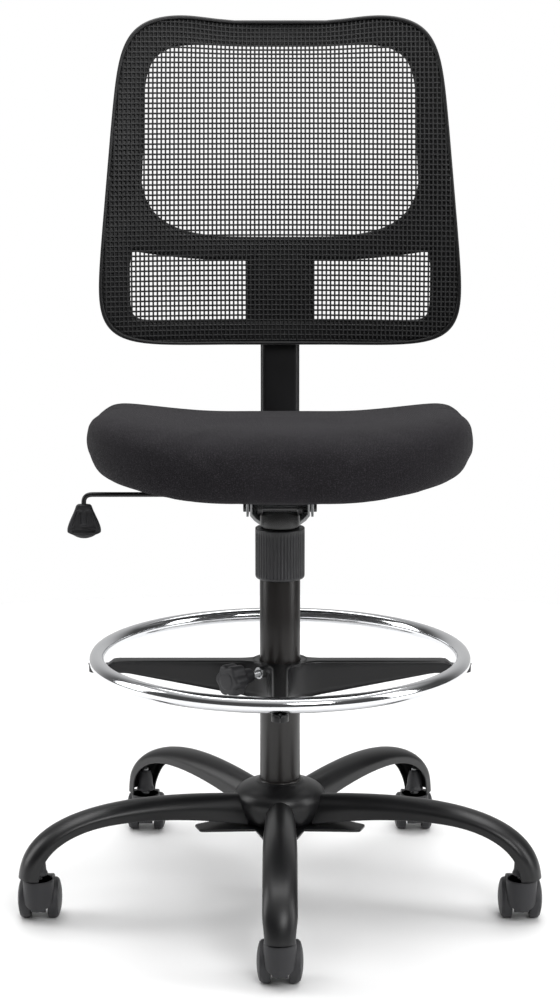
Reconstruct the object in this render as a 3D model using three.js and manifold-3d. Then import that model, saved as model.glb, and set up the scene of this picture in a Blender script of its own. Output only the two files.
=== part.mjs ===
// A drafting chair: five-legged steel base on twin-wheel casters, tall column with a sliding
// footring, gas lift, swivel-tilt mechanism, upholstered seat and mesh back.
// Millimetres, +Z up, origin on the floor under the column axis, the sitter faces -Y.
import * as THREE from 'three';
import { TessellateModifier } from 'three/addons/modifiers/TessellateModifier.js';
import { mergeVertices } from 'three/addons/utils/BufferGeometryUtils.js';
import Module from 'manifold-3d';

const wasm = await Module();
wasm.setup();

// ---- Driving dimensions ----
const gap = 0.3; // between two pieces that sit against each other
const runningGap = 0.6; // round a piece that turns or slides

const wheelRadius = 25;
const casterTop = 2 * wheelRadius + 5; // the caster's cup stands a little above its wheels

const legCount = 5;
const casterCircle = 311; // column axis to caster stem
const legReach = 24; // leg end beyond the stem
const legEndHeight = casterTop + 3;
const legCrown = casterTop + 98; // height that the leg's arch aims for
const legWall = 2.2;
const legWidth = { hub: 36, far: 41, end: 36 };
const legDepth = { hub: 36, middle: 15, end: 21 };

const columnRadius = 25;
const columnWall = 2.5;
const columnTop = 471.5;
const hubRadius = 58;
const hubFloor = casterTop + 45.3;
const hubTop = hubFloor + 52.7;
const legTopAtHub = hubFloor + 37.2;
const starPlate = { reach: 110, valley: 52, tipHalf: 12, thickness: 3 };

const stemRadius = 5.5;
const socket = { radius: 10, bottom: casterTop + 5, top: casterTop + 33, flange: 15.6 };
const wheelInner = 10.8; // caster mid plane to the wheel's inner face
const wheelOuter = 27; // caster mid plane to the crown of the hub cap
const axleRadius = 3.1;
const casterTrail = 18; // stem axis to axle
const cup = { radius: 19, top: casterTop, wall: 2.5, floor: casterTop - 11 };
const shield = { bottom: 9.5, halfWidth: 9.6 };

const collar = { bottom: 411, top: 474, radius: 30.5, ribDepth: 1, ribs: 28 };
const cylinderRadius = 14;
const cylinderTop = 506;
const rodRadius = 5;
const columnSocket = { radius: 24.5, bottom: 476, top: 507 };
const button = { radius: 3, travelTop: 511.7 };

const ring = { radius: 227, tube: 9.5, height: 310 };
const spider = { top: 307, bottom: 258, sleeveWall: 3.4, flange: 34, armWidth: 20, sheet: 2.5 };
const armEnd = { reach: 237.5, bottom: 286 };
const knob = { distance: 70, thickness: 24, radius: 19, lobes: 6, height: 295.6, stud: 4 };

const housing = { halfWidth: 36, wall: 2.5, front: -66, rear: 60, floor: 490, wallTop: 528 };
const tiltAxis = { y: -45, z: 507 };
const shaftRadius = 5;
const spring = { radius: 8.5, inner: 19.5, outer: 29, coils: 3 };
const lever = { height: 515, rod: 3, reach: 241, bend: 9, paddleTop: 503 };
const paddle = { width: 43, height: 44, thickness: 12, grip: 8 };

const seatPitch = 0.0803; // radians, front edge up
const seatHeight = 523; // seat frame's own zero above the column axis
const seat = { halfWidth: 236.5, halfDepth: 228, centre: -8, thickness: 85, corner: 3.6 };
const seatDish = { flat: 60, rise: 31 };
const pan = { inset: 22, bottom: 10, thickness: 12, rearLip: 8 };
const plate = { sideGap: 1.6, sheet: 3, front: -95, rear: 150, flange: 38, lip: 6 };
const plateHalfWidth = housing.halfWidth + plate.sideGap + plate.sheet;

const post = { width: 51.5, depth: 16, wall: 2, start: 70, y: 273, top: 806, bend: 46 };
const back = { bottom: 670, top: 1096.5, widthBottom: 242.8, widthTop: 206.2, dip: 11, corner: 7 };
const backCurve = { y: 240, recline: 78, start: 700, wrap: 30 };
const frameDepth = 12;
const meshThickness = 3;
const meshGap = 1.5; // mesh to the frame behind it
const upperOpening = { bottom: 810, top: 1058, halfWidth: 179, topCorner: 8, lowCorner: 3.7 };
const lowerOpening = { inner: 44, outer: 195, bottom: 703.5, innerTop: 779, outerTop: 793 };

// ---- Materials ----
const finish = (color, roughness, metalness) =>
  new THREE.MeshStandardMaterial({ color, roughness, metalness });
const satinBlack = finish(0x1b1b1c, 0.42, 0.3);
const glossBlack = finish(0x141212, 0.25, 0.4);
const mouldedGrey = finish(0x2d2d30, 0.6, 0);
const chrome = finish(0xe2e4e6, 0.06, 1);
const zinc = finish(0xb4b6b8, 0.35, 0.9);
const springSteel = finish(0x18181a, 0.3, 0.8);
const fabricCharcoal = finish(0x2c2b2f, 0.95, 0);
const meshBlack = finish(0x101011, 0.8, 0);
const panBlack = finish(0x171717, 0.7, 0);

// ---- Helpers ----
const chair = new THREE.Group();

function clean(geometry) {
  const bare = geometry.clone();
  bare.deleteAttribute('normal');
  bare.deleteAttribute('uv');
  const merged = mergeVertices(bare, 1e-4);
  const index = merged.index.array;
  const kept = [];
  for (let i = 0; i < index.length; i += 3) {
    const [a, b, c] = [index[i], index[i + 1], index[i + 2]];
    if (a !== b && b !== c && c !== a) kept.push(a, b, c);
  }
  merged.setIndex(kept);
  return merged;
}

function solid(geometry) {
  const g = clean(geometry);
  return new wasm.Manifold(
    new wasm.Mesh({
      numProp: 3,
      vertProperties: new Float32Array(g.attributes.position.array),
      triVerts: new Uint32Array(g.index.array),
    }),
  );
}

function geometryOf(manifold) {
  const mesh = manifold.getMesh();
  const geometry = new THREE.BufferGeometry();
  geometry.setAttribute('position', new THREE.BufferAttribute(mesh.vertProperties, 3));
  geometry.setIndex(new THREE.BufferAttribute(mesh.triVerts, 1));
  return geometry;
}

const cut = (body, ...tools) => tools.reduce((left, g) => left.subtract(solid(g)), body);

// Turns a profile of [radius, height] points round the Z axis.
function turned(profile, segments = 24) {
  const points = profile.map(([r, z]) => new THREE.Vector2(r, z));
  return clean(new THREE.LatheGeometry(points, segments).rotateX(Math.PI / 2));
}

const pipe = (outer, inner, bottom, top, segments) =>
  turned([[inner, bottom], [outer, bottom], [outer, top], [inner, top], [inner, bottom]], segments);

const rod = (radius, bottom, top, segments) =>
  turned([[0, bottom], [radius, bottom], [radius, top], [0, top]], segments);

// Lays a piece that was made along Z down along X.
const alongX = (geometry) => geometry.rotateY(Math.PI / 2);

function block(x0, x1, y0, y1, z0, z1) {
  const box = new THREE.BoxGeometry(x1 - x0, y1 - y0, z1 - z0);
  return box.translate((x0 + x1) / 2, (y0 + y1) / 2, (z0 + z1) / 2);
}

function outline(points) {
  return new THREE.Shape(points.map(([x, y]) => new THREE.Vector2(x, y)));
}

const drawn = (shape, depth, steps = 1) =>
  new THREE.ExtrudeGeometry(shape, { depth, steps, bevelEnabled: false, curveSegments: 6 });

// An outline given in X and Z, drawn from y0 to y1.
const drawnAlongY = (shape, y0, y1) =>
  drawn(shape, y1 - y0).rotateX(Math.PI / 2).translate(0, y1, 0);

// An outline given in Y and Z, drawn from x0 to x1.
const drawnAlongX = (shape, x0, x1) =>
  drawn(shape, x1 - x0).rotateX(Math.PI / 2).rotateZ(Math.PI / 2).translate(x0, 0, 0);

function moveVertices(geometry, place) {
  const position = geometry.attributes.position;
  const p = new THREE.Vector3();
  for (let i = 0; i < position.count; i += 1) {
    p.fromBufferAttribute(position, i);
    place(p);
    position.setXYZ(i, p.x, p.y, p.z);
  }
  return geometry;
}

// Carries a section (x across, y up) along a flat curve in the XZ plane, scaled on its way.
function carried(section, curve, steps, scale = () => [1, 1]) {
  return moveVertices(drawn(section, 1, steps), (p) => {
    const [across, up] = scale(p.z);
    const at = curve.getPoint(p.z);
    const way = curve.getTangent(p.z);
    p.set(at.x - way.y * p.y * up, p.x * across, at.y + way.x * p.y * up);
  });
}

// A flat path from start to end that rounds its corner, with one step for each of its points.
function bentPath(start, corner, end, bend, steps) {
  const toward = (from, to) => to.clone().sub(from).normalize();
  const before = corner.clone().addScaledVector(toward(corner, start), bend);
  const after = corner.clone().addScaledVector(toward(corner, end), bend);
  const arc = new THREE.QuadraticBezierCurve(before, corner, after).getPoints(steps);
  const points = [start, ...arc, end];
  const last = points.length - 1;
  return {
    steps: last,
    getPoint: (t) => points[Math.round(t * last)],
    getTangent: (t) => {
      const i = Math.round(t * last);
      return toward(points[Math.max(i - 1, 0)], points[Math.min(i + 1, last)]);
    },
  };
}

// A plate whose square grid (u, v from -1 to 1) is moved into its outline and thickness.
function slab(nu, nv, place) {
  return moveVertices(new THREE.BoxGeometry(2, 2, 2, nu, nv, 1), (p) => {
    p.copy(place(p.x, p.y, p.z > 0));
  });
}

// Squeezes a square into a superellipse: the factor that both coordinates take.
function roundedSquare(u, v, corner) {
  const reach = Math.max(Math.abs(u), Math.abs(v));
  if (reach === 0) return 1;
  return reach / (Math.abs(u) ** corner + Math.abs(v) ** corner) ** (1 / corner);
}

function place(parent, name, geometry, material) {
  const mesh = new THREE.Mesh(geometry, material);
  mesh.name = name;
  parent.add(mesh);
  return mesh;
}

function groupAt(parent, x, y, z) {
  const group = new THREE.Group();
  group.position.set(x, y, z);
  parent.add(group);
  return group;
}

// ---- Base: hub, star plate, five legs with their stem sockets ----
const hubBore = columnRadius + gap;
const hubProfile = [
  [hubRadius - 12, hubFloor],
  [hubRadius - 5, hubFloor + 11],
  [hubRadius - 0.5, hubFloor + 24],
  [hubRadius, hubFloor + 33],
  [hubRadius - 3, hubTop - 12],
  [hubRadius - 12, hubTop - 6],
  [columnRadius + 8, hubTop - 2],
  [columnRadius + 4, hubTop],
];

function hubGeometry() {
  const bottom = [hubBore, hubFloor];
  return turned([bottom, ...hubProfile, [hubBore, hubTop], bottom], 32);
}

function hubEnvelope() {
  const grown = hubProfile.map(([r, z]) => [r + gap, z]);
  return turned([[0, hubFloor - 5], [grown[0][0], hubFloor - 5], ...grown, [0, hubTop]], 32);
}

function starPlateGeometry() {
  const points = [];
  for (let k = 0; k < legCount; k += 1) {
    const angle = legAngle(k);
    const half = Math.PI / legCount;
    for (const side of [-1, 1]) {
      const c = Math.cos(angle);
      const s = Math.sin(angle);
      const along = starPlate.reach;
      const across = side * starPlate.tipHalf;
      points.push([along * c - across * s, along * s + across * c]);
    }
    const valley = angle + half;
    points.push([starPlate.valley * Math.cos(valley), starPlate.valley * Math.sin(valley)]);
  }
  const shape = outline(points);
  const hole = new THREE.Path();
  hole.absarc(0, 0, columnRadius - columnWall, 0, 2 * Math.PI, true);
  shape.holes.push(hole);
  const top = hubFloor - gap;
  return drawn(shape, starPlate.thickness).translate(0, 0, top - starPlate.thickness);
}

const legAngle = (k) => -Math.PI / 2 + (2 * Math.PI * k) / legCount;

// A channel that is open underneath: arched top, straight skirts.
function legSection() {
  const half = legWidth.far / 2;
  const arch = 13;
  const points = [];
  const steps = 6;
  for (let i = 0; i <= steps; i += 1) {
    const a = (Math.PI * i) / steps;
    points.push([half * Math.cos(a), arch * (Math.sin(a) - 1)]);
  }
  points.push([-half, -legDepth.end], [legWall - half, -legDepth.end]);
  for (let i = steps; i >= 0; i -= 1) {
    const a = (Math.PI * i) / steps;
    const inner = half - legWall;
    points.push([inner * Math.cos(a), (arch - legWall) * Math.sin(a) - arch]);
  }
  points.push([half - legWall, -legDepth.end], [half, -legDepth.end]);
  return outline(points);
}

function legGeometry() {
  const end = casterCircle + legReach;
  const curve = new THREE.CubicBezierCurve(
    new THREE.Vector2(hubRadius - 14, legTopAtHub),
    new THREE.Vector2(casterCircle / 2, legCrown - 3),
    new THREE.Vector2(end - 9, legCrown + 3),
    new THREE.Vector2(end, legEndHeight),
  );
  const widen = (t) => {
    const grow = THREE.MathUtils.smoothstep(t, 0, 0.45);
    const shrink = THREE.MathUtils.smoothstep(t, 0.85, 1);
    const { hub, far, end: foot } = legWidth;
    return hub + grow * (far - hub) - shrink * (far - foot);
  };
  const deepen = (t) => {
    const { hub, middle, end: foot } = legDepth;
    const drop = THREE.MathUtils.smoothstep(t, 0.7, 1);
    return middle + (hub - middle) * (1 - t) ** 2 + (foot - middle) * drop;
  };
  const scale = (t) => [widen(t) / legWidth.far, deepen(t) / legDepth.end];
  const bar = carried(legSection(), curve, 9, scale);
  const under = block(0, starPlate.reach + 10, -60, 60, 0, hubFloor);
  return geometryOf(cut(solid(bar), hubEnvelope(), under));
}

const socketGeometry = () => {
  const bore = stemRadius + gap;
  const flangeBottom = socket.bottom + 8;
  return turned(
    [
      [bore, socket.bottom],
      [socket.radius, socket.bottom],
      [socket.radius, flangeBottom],
      [socket.flange, flangeBottom],
      [socket.flange, flangeBottom + 3],
      [socket.radius, flangeBottom + 3],
      [socket.radius, socket.top],
      [bore, socket.top],
      [bore, socket.bottom],
    ],
    12,
  );
};

place(chair, 'base_hub', hubGeometry(), satinBlack);
place(chair, 'base_star_plate', starPlateGeometry(), satinBlack);
for (let k = 0; k < legCount; k += 1) {
  const leg = place(chair, `leg_${k + 1}`, legGeometry(), satinBlack);
  leg.rotation.z = legAngle(k);
  const stemSocket = place(chair, `stem_socket_${k + 1}`, socketGeometry(), mouldedGrey);
  const [c, s] = [Math.cos(legAngle(k)), Math.sin(legAngle(k))];
  stemSocket.position.set(casterCircle * c, casterCircle * s, 0);
}

// ---- Casters ----
const wheelSides = 20;
// The wheel's rim rests on a flat of its polygon, so the radius is taken to the flat.
const rimRadius = wheelRadius / Math.cos(Math.PI / wheelSides);
const axleBore = axleRadius + gap;

function stemGeometry() {
  const top = socket.top + 4;
  return turned(
    [
      [0, cup.floor - 4],
      [stemRadius, cup.floor - 4],
      [stemRadius, socket.top - 2],
      [stemRadius - 1.2, socket.top],
      [stemRadius - 0.7, top - 1],
      [0, top],
    ],
    12,
  );
}

function wheelGeometry(side) {
  const boreEnd = wheelOuter - 6;
  const profile = [
    [0, boreEnd],
    [axleBore, boreEnd],
    [axleBore, wheelInner],
    [rimRadius - 2, wheelInner],
    [rimRadius, wheelInner + 1],
    [rimRadius, wheelOuter - 7],
    [rimRadius * 0.9, wheelOuter - 3.8],
    [rimRadius * 0.5, wheelOuter - 0.8],
    [0, wheelOuter],
  ];
  const wheel = turned(profile, wheelSides).rotateZ(Math.PI / wheelSides);
  return alongX(wheel).rotateZ(side < 0 ? Math.PI : 0);
}

function wheelEnvelope(side) {
  const sides = 12;
  const radius = (rimRadius + runningGap) / Math.cos(Math.PI / sides);
  const clear = rod(radius, wheelInner - runningGap, wheelOuter + 3, sides);
  return alongX(clear).rotateZ(side < 0 ? Math.PI : 0).translate(0, casterTrail, wheelRadius);
}

function hoodGeometry() {
  const boss = stemRadius + 4;
  const ringCup = turned(
    [
      [0, cup.floor - 8],
      [cup.radius, cup.floor - 8],
      [cup.radius, cup.top],
      [cup.radius - cup.wall, cup.top],
      [cup.radius - cup.wall, cup.floor],
      [boss, cup.floor],
      [boss, cup.top - 3],
      [0, cup.top - 3],
    ],
    16,
  );
  const front = outline([
    [-cup.radius, cup.floor],
    [-cup.radius, cup.floor - 8],
    [-shield.halfWidth - 4, wheelRadius],
    [-shield.halfWidth, shield.bottom],
    [shield.halfWidth, shield.bottom],
    [shield.halfWidth + 4, wheelRadius],
    [cup.radius, cup.floor - 8],
    [cup.radius, cup.floor],
  ]);
  const shieldBody = solid(drawnAlongY(front, -cup.radius, 0));
  const rounded = shieldBody.intersect(solid(rod(cup.radius, 0, cup.floor, 16)));
  const web = outline(fenderOutline(wheelRadius + 2, 0));
  const fender = outline(fenderOutline(wheelRadius + 4, wheelRadius + 1.8));
  const body = solid(ringCup)
    .add(rounded)
    .add(solid(drawnAlongX(web, -shield.halfWidth + 0.4, shield.halfWidth - 0.4)))
    .add(solid(drawnAlongX(fender, -cup.radius + 2, cup.radius - 2)));
  const stemBore = rod(stemRadius + gap, cup.floor - 4 - gap, cup.top + 1, 12);
  const axle = alongX(rod(axleBore, -30, 30, 12)).translate(0, casterTrail, wheelRadius);
  return geometryOf(cut(body, wheelEnvelope(1), wheelEnvelope(-1), stemBore, axle));
}

// A sector over the wheels in Y and Z, from in front of the stem to behind the axle's level.
function fenderOutline(outer, inner) {
  const from = THREE.MathUtils.degToRad(inner ? 150 : 215);
  const to = THREE.MathUtils.degToRad(inner ? 8 : -20);
  const arc = (radius, a0, a1) => {
    const steps = 6;
    return Array.from({ length: steps + 1 }, (_, i) => {
      const a = a0 + ((a1 - a0) * i) / steps;
      return [casterTrail + radius * Math.cos(a), wheelRadius + radius * Math.sin(a)];
    });
  };
  const innerArc = inner ? arc(inner, to, from) : arc(axleRadius + 4, to, from);
  return [...arc(outer, from, to), ...innerArc];
}

const axleGeometry = () => {
  const half = wheelOuter - 6 - gap;
  return alongX(rod(axleRadius, -half, half, 12)).translate(0, casterTrail, wheelRadius);
};

for (let k = 0; k < legCount; k += 1) {
  const angle = legAngle(k);
  const caster = groupAt(chair, casterCircle * Math.cos(angle), casterCircle * Math.sin(angle), 0);
  const name = `caster_${k + 1}`;
  place(caster, `${name}_stem`, stemGeometry(), zinc);
  place(caster, `${name}_hood`, hoodGeometry(), mouldedGrey);
  place(caster, `${name}_axle`, axleGeometry(), zinc);
  for (const [side, word] of [[-1, 'left'], [1, 'right']]) {
    const wheel = place(caster, `${name}_wheel_${word}`, wheelGeometry(side), mouldedGrey);
    wheel.position.set(0, casterTrail, wheelRadius);
  }
}

// ---- Column: tube, guide bush, ribbed collar, gas cylinder on its rod ----
const columnFloor = 4; // thickness of the plate that closes the tube's foot

function columnTubeGeometry() {
  const inner = columnRadius - columnWall;
  return turned([
    [rodRadius + runningGap, hubFloor],
    [columnRadius, hubFloor],
    [columnRadius, columnTop],
    [inner, columnTop],
    [inner, hubFloor + columnFloor],
    [rodRadius + runningGap, hubFloor + columnFloor],
    [rodRadius + runningGap, hubFloor],
  ]);
}

function ribbedCollarGeometry() {
  const points = [];
  for (let i = 0; i < collar.ribs; i += 1) {
    const step = (2 * Math.PI) / collar.ribs;
    for (const [shift, depth] of [[0.1, 0], [0.55, 0], [0.7, 1], [0.95, 1]]) {
      const a = (i + shift) * step;
      const r = collar.radius - depth * collar.ribDepth;
      points.push([r * Math.cos(a), r * Math.sin(a)]);
    }
  }
  const sleeve = drawn(outline(points), collar.top - collar.bottom).translate(0, 0, collar.bottom);
  const bore = turned([
    [0, collar.bottom - 1],
    [columnRadius + gap, collar.bottom - 1],
    [columnRadius + gap, columnTop + gap],
    [cylinderRadius + runningGap + 0.4, columnTop + gap],
    [cylinderRadius + runningGap + 0.4, collar.top + 1],
    [0, collar.top + 1],
  ]);
  return geometryOf(cut(solid(sleeve), bore));
}

const bushTop = columnTop - gap;
const bushLength = 80;
const bushGeometry = () =>
  pipe(columnRadius - columnWall - gap, cylinderRadius + runningGap, bushTop - bushLength, bushTop, 24);

const cylinderBottom = hubFloor + columnFloor + 14;
const cylinderBore = cylinderRadius - 2.5;

function pistonRodGeometry() {
  const foot = hubFloor + columnFloor + gap;
  const head = 390;
  return turned(
    [
      [0, foot],
      [columnRadius - columnWall - 3, foot],
      [columnRadius - columnWall - 3, foot + 4],
      [rodRadius, foot + 4],
      [rodRadius, head],
      [cylinderBore - runningGap, head],
      [cylinderBore - runningGap, head + 12],
      [0, head + 12],
    ],
    24,
  );
}

function gasCylinderGeometry() {
  return turned([
    [rodRadius + runningGap, cylinderBottom],
    [cylinderRadius, cylinderBottom],
    [cylinderRadius, cylinderTop],
    [button.radius + gap, cylinderTop],
    [button.radius + gap, cylinderTop - 12],
    [cylinderBore - 4, cylinderTop - 12],
    [cylinderBore, cylinderTop - 16],
    [cylinderBore, cylinderBottom + 4],
    [rodRadius + runningGap, cylinderBottom + 4],
    [rodRadius + runningGap, cylinderBottom],
  ]);
}

place(chair, 'column_tube', columnTubeGeometry(), glossBlack);
place(chair, 'column_bush', bushGeometry(), mouldedGrey);
place(chair, 'ribbed_collar', ribbedCollarGeometry(), mouldedGrey);
place(chair, 'piston_rod', pistonRodGeometry(), chrome);
place(chair, 'gas_cylinder', gasCylinderGeometry(), glossBlack);
place(chair, 'release_button', rod(button.radius, cylinderTop - 8, button.travelTop, 12), zinc);

// ---- Footring: chromed ring on a pressed four-armed spider that slides on the column ----
const spiderBore = columnRadius + runningGap;
const sleeveRadius = spiderBore + spider.sleeveWall;

const saddleFloor = ring.height - ring.tube - gap; // where the ring rests on an arm

function armProfile() {
  const start = spiderBore + 1;
  return outline([
    [start, spider.bottom + 3],
    [armEnd.reach - 3, armEnd.bottom],
    [armEnd.reach, armEnd.bottom + 3],
    [armEnd.reach, saddleFloor - 5],
    [armEnd.reach - 5, saddleFloor],
    [ring.radius - 2, saddleFloor],
    [ring.radius - ring.tube - 3, spider.top],
    [start, spider.top],
  ]);
}

function armGeometries() {
  const half = spider.armWidth / 2;
  const outer = drawnAlongY(armProfile(), -half, half);
  const inner = outline([
    [spiderBore - 5, spider.bottom - 5],
    [armEnd.reach - 4, armEnd.bottom - 10],
    [armEnd.reach - 4, saddleFloor - 6 - spider.sheet],
    [ring.radius - 8, saddleFloor - spider.sheet],
    [ring.radius - ring.tube - 6, spider.top - spider.sheet],
    [spiderBore - 5, spider.top - spider.sheet],
  ]);
  const hollowHalf = half - spider.sheet;
  return [outer, drawnAlongY(inner, -hollowHalf, hollowHalf)];
}

function spiderGeometry() {
  const [arm, hollow] = armGeometries();
  const quarterTurns = [0, 1, 2, 3].map((k) => (k * Math.PI) / 2);
  let body = solid(rod(spider.flange, spider.top - 3, spider.top, 24));
  for (const turn of quarterTurns) body = body.add(solid(arm.clone().rotateZ(turn)));
  for (const turn of quarterTurns) body = body.subtract(solid(hollow.clone().rotateZ(turn)));
  const studBoss = alongX(rod(knob.stud + 3.5, spiderBore + 1, sleeveRadius + 9, 16));
  const studBore = alongX(rod(knob.stud + gap, 0, sleeveRadius + 12, 12));
  const toKnob = (g) => g.rotateZ(knobAngle).translate(0, 0, knob.height);
  const sleeve = rod(sleeveRadius, spider.bottom, spider.top, 24);
  body = body.add(solid(sleeve)).add(solid(toKnob(studBoss)));
  const bore = rod(spiderBore, spider.bottom - 1, spider.top + 1, 24);
  return geometryOf(cut(body, bore, toKnob(studBore), ringGeometry(ring.tube + gap)));
}

function ringGeometry(tube) {
  return new THREE.TorusGeometry(ring.radius, tube, 8, 48).translate(0, 0, ring.height);
}

const knobAngle = (-3 * Math.PI) / 4; // between the left and the front arm

function knobGeometry() {
  const points = [];
  const steps = 6 * knob.lobes;
  for (let i = 0; i < steps; i += 1) {
    const a = (2 * Math.PI * i) / steps;
    const r = knob.radius + 1.2 * Math.cos(knob.lobes * a);
    points.push([r * Math.cos(a), r * Math.sin(a)]);
  }
  const body = solid(drawn(outline(points), knob.thickness));
  const neck = rod(knob.radius * 0.5, -5, 1, 16);
  return geometryOf(cut(body.add(solid(neck)), rod(knob.stud + gap, -6, knob.thickness - 6, 12)));
}

const footring = groupAt(chair, 0, 0, 0);
place(footring, 'footring_ring', clean(ringGeometry(ring.tube)), chrome);
place(footring, 'footring_spider', spiderGeometry(), satinBlack);
const knobGroup = groupAt(footring, 0, 0, knob.height);
knobGroup.rotation.z = knobAngle;
const knobMesh = place(knobGroup, 'footring_knob', alongX(knobGeometry()), mouldedGrey);
knobMesh.position.x = knob.distance;
const studEnd = knob.distance + knob.thickness - 6 - gap;
place(knobGroup, 'footring_stud', alongX(rod(knob.stud, columnRadius + gap, studEnd, 12)), zinc);

// ---- Swivel-tilt mechanism ----
function housingGeometry() {
  const { halfWidth: w, wall, floor, wallTop } = housing;
  const channel = (x, drop) => [
    [-x, wallTop + drop],
    [-x, floor + 11 + drop * 0.8],
    [-x + 5, floor + 5 + drop],
    [-x + 12, floor + drop],
    [x - 12, floor + drop],
    [x - 5, floor + 5 + drop],
    [x, floor + 11 + drop * 0.8],
    [x, wallTop + drop],
  ];
  const outer = drawnAlongY(outline(channel(w, 0)), housing.front, housing.rear);
  const inner = drawnAlongY(outline(channel(w - wall, wall)), housing.front - 1, housing.rear - wall);
  const openFloor = block(12 - w, w - 12, housing.front - 1, -5, floor - 1, floor + 10);
  const slopedTop = block(-60, 60, -130, 130, 0, 60).rotateX(-0.16).translate(0, 0, wallTop - 12);
  const shaftHole = alongX(rod(shaftRadius + gap, -60, 60, 16)).translate(0, tiltAxis.y, tiltAxis.z);
  const socketHole = rod(columnSocket.radius + gap, floor - 5, floor + 10, 24);
  const leverHole = alongX(rod(lever.rod + 2, -w - 5, -w + 8, 12)).translate(0, 0, lever.height);
  return geometryOf(cut(solid(outer), inner, openFloor, slopedTop, shaftHole, socketHole, leverHole));
}

function springGeometry() {
  const profile = [[shaftRadius + gap, spring.inner]];
  const groove = spring.radius - 1.2;
  const pitch = (spring.outer - spring.inner) / spring.coils;
  for (let i = 0; i < spring.coils; i += 1) {
    const z = spring.inner + i * pitch;
    profile.push([groove, z], [spring.radius, z + pitch * 0.3], [spring.radius, z + pitch * 0.7]);
  }
  profile.push([groove, spring.outer], [shaftRadius + gap, spring.outer]);
  profile.push([shaftRadius + gap, spring.inner]);
  return alongX(turned(profile, 12));
}

const mechanism = groupAt(chair, 0, 0, 0);
const socketBore = cylinderRadius + 0.5;
const socketSleeve = pipe(columnSocket.radius, socketBore, columnSocket.bottom, columnSocket.top, 24);
place(mechanism, 'column_socket', socketSleeve, glossBlack);
place(mechanism, 'mechanism_housing', housingGeometry(), zinc);
const shaftGroup = groupAt(mechanism, 0, tiltAxis.y, tiltAxis.z);
const shaftHalf = plateHalfWidth + 4;
place(shaftGroup, 'tilt_shaft', alongX(rod(shaftRadius, -shaftHalf, shaftHalf, 16)), zinc);
place(shaftGroup, 'tilt_spring_right', springGeometry(), springSteel);
place(shaftGroup, 'tilt_spring_left', springGeometry().rotateZ(Math.PI), springSteel);

// ---- Height lever: the inner end lies over the release button ----
function leverRodGeometry() {
  const { height, reach, bend, paddleTop } = lever;
  const start = new THREE.Vector2(2, height);
  const end = new THREE.Vector2(-reach, paddleTop - paddle.grip);
  const path = bentPath(start, new THREE.Vector2(-reach, height), end, bend, 5);
  const circle = new THREE.Shape().absarc(0, 0, lever.rod, 0, 2 * Math.PI, false);
  return clean(carried(circle, path, path.steps));
}

function paddleGeometry() {
  const { width: w, height: h, thickness: t } = paddle;
  const shape = new THREE.Shape();
  shape.moveTo(-7, 0);
  shape.lineTo(7, 0);
  shape.quadraticCurveTo(w * 0.36, -h * 0.3, w / 2, -h * 0.72);
  shape.quadraticCurveTo(w / 2, -h, w * 0.3, -h * 0.96);
  shape.quadraticCurveTo(0, -h * 0.9, -w * 0.3, -h * 0.96);
  shape.quadraticCurveTo(-w / 2, -h, -w / 2, -h * 0.72);
  shape.quadraticCurveTo(-w * 0.36, -h * 0.3, -7, 0);
  const body = solid(drawnAlongY(shape, -t / 2, t / 2));
  const bore = lever.rod + gap + 0.2; // the rod's bent section is not quite round
  return geometryOf(cut(body, rod(bore, -paddle.grip - gap, 1, 12)));
}

place(chair, 'lever_rod', leverRodGeometry(), satinBlack);
const paddleMesh = place(chair, 'lever_paddle', paddleGeometry(), mouldedGrey);
paddleMesh.position.set(-lever.reach, 0, lever.paddleTop);

// ---- Seat: plate, pan and cushion in a frame pitched with the seat ----
const seatFrame = groupAt(chair, 0, 0, seatHeight);
seatFrame.rotation.x = -seatPitch;

// The seat's sides rise beyond its flat middle.
function dish(x) {
  const over = Math.max(0, Math.abs(x) - seatDish.flat) / (seat.halfWidth - seatDish.flat);
  return seatDish.rise * over ** 2;
}

function seatSlab(grid, inset, bottom, top) {
  return slab(grid, grid, (u, v, isTop) => {
    const s = roundedSquare(u, v, seat.corner);
    const x = u * s * (seat.halfWidth - inset);
    const y = seat.centre + v * s * (seat.halfDepth - inset);
    const edge = Math.max(Math.abs(u), Math.abs(v));
    return new THREE.Vector3(x, y, dish(x) + (isTop ? top(edge) : bottom(y)));
  });
}

function cushionGeometry() {
  const crown = (edge) => seat.thickness - 34 * edge ** 6;
  const lip = (y) => pan.rearLip * THREE.MathUtils.smoothstep(y, 0, seat.halfDepth * 0.7);
  const body = solid(seatSlab(10, 0, lip, crown));
  const recessTop = pan.bottom + pan.thickness + gap;
  return geometryOf(cut(body, seatSlab(8, pan.inset - gap, () => -30, () => recessTop)));
}

function seatPlateGeometry() {
  const { sheet: t, flange } = plate;
  const w = plateHalfWidth;
  const top = pan.bottom - gap;
  const foot = top - flange;
  const section = outline([
    [-w, top], [-w, foot], [t - w, foot], [t - w, top - t],
    [w - t, top - t], [w - t, foot], [w, foot], [w, top],
  ]);
  const channel = drawnAlongY(section, plate.front, plate.rear);
  const shallow = (y0, y1) => block(-w - 5, w + 5, y0, y1, foot - 10, top - plate.lip);
  const [c, s] = [Math.cos(seatPitch), Math.sin(seatPitch)];
  const drop = tiltAxis.z - seatHeight;
  const shaftAt = [tiltAxis.y * c - drop * s, tiltAxis.y * s + drop * c];
  const shaftHole = alongX(rod(shaftRadius + gap, -70, 70, 16)).translate(0, shaftAt[0], shaftAt[1]);
  const rearCut = shallow(shaftAt[0] + 32, plate.rear + 5);
  const frontCut = shallow(plate.front - 5, shaftAt[0] - 20);
  return geometryOf(cut(solid(channel), rearCut, frontCut, shaftHole));
}

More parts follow.
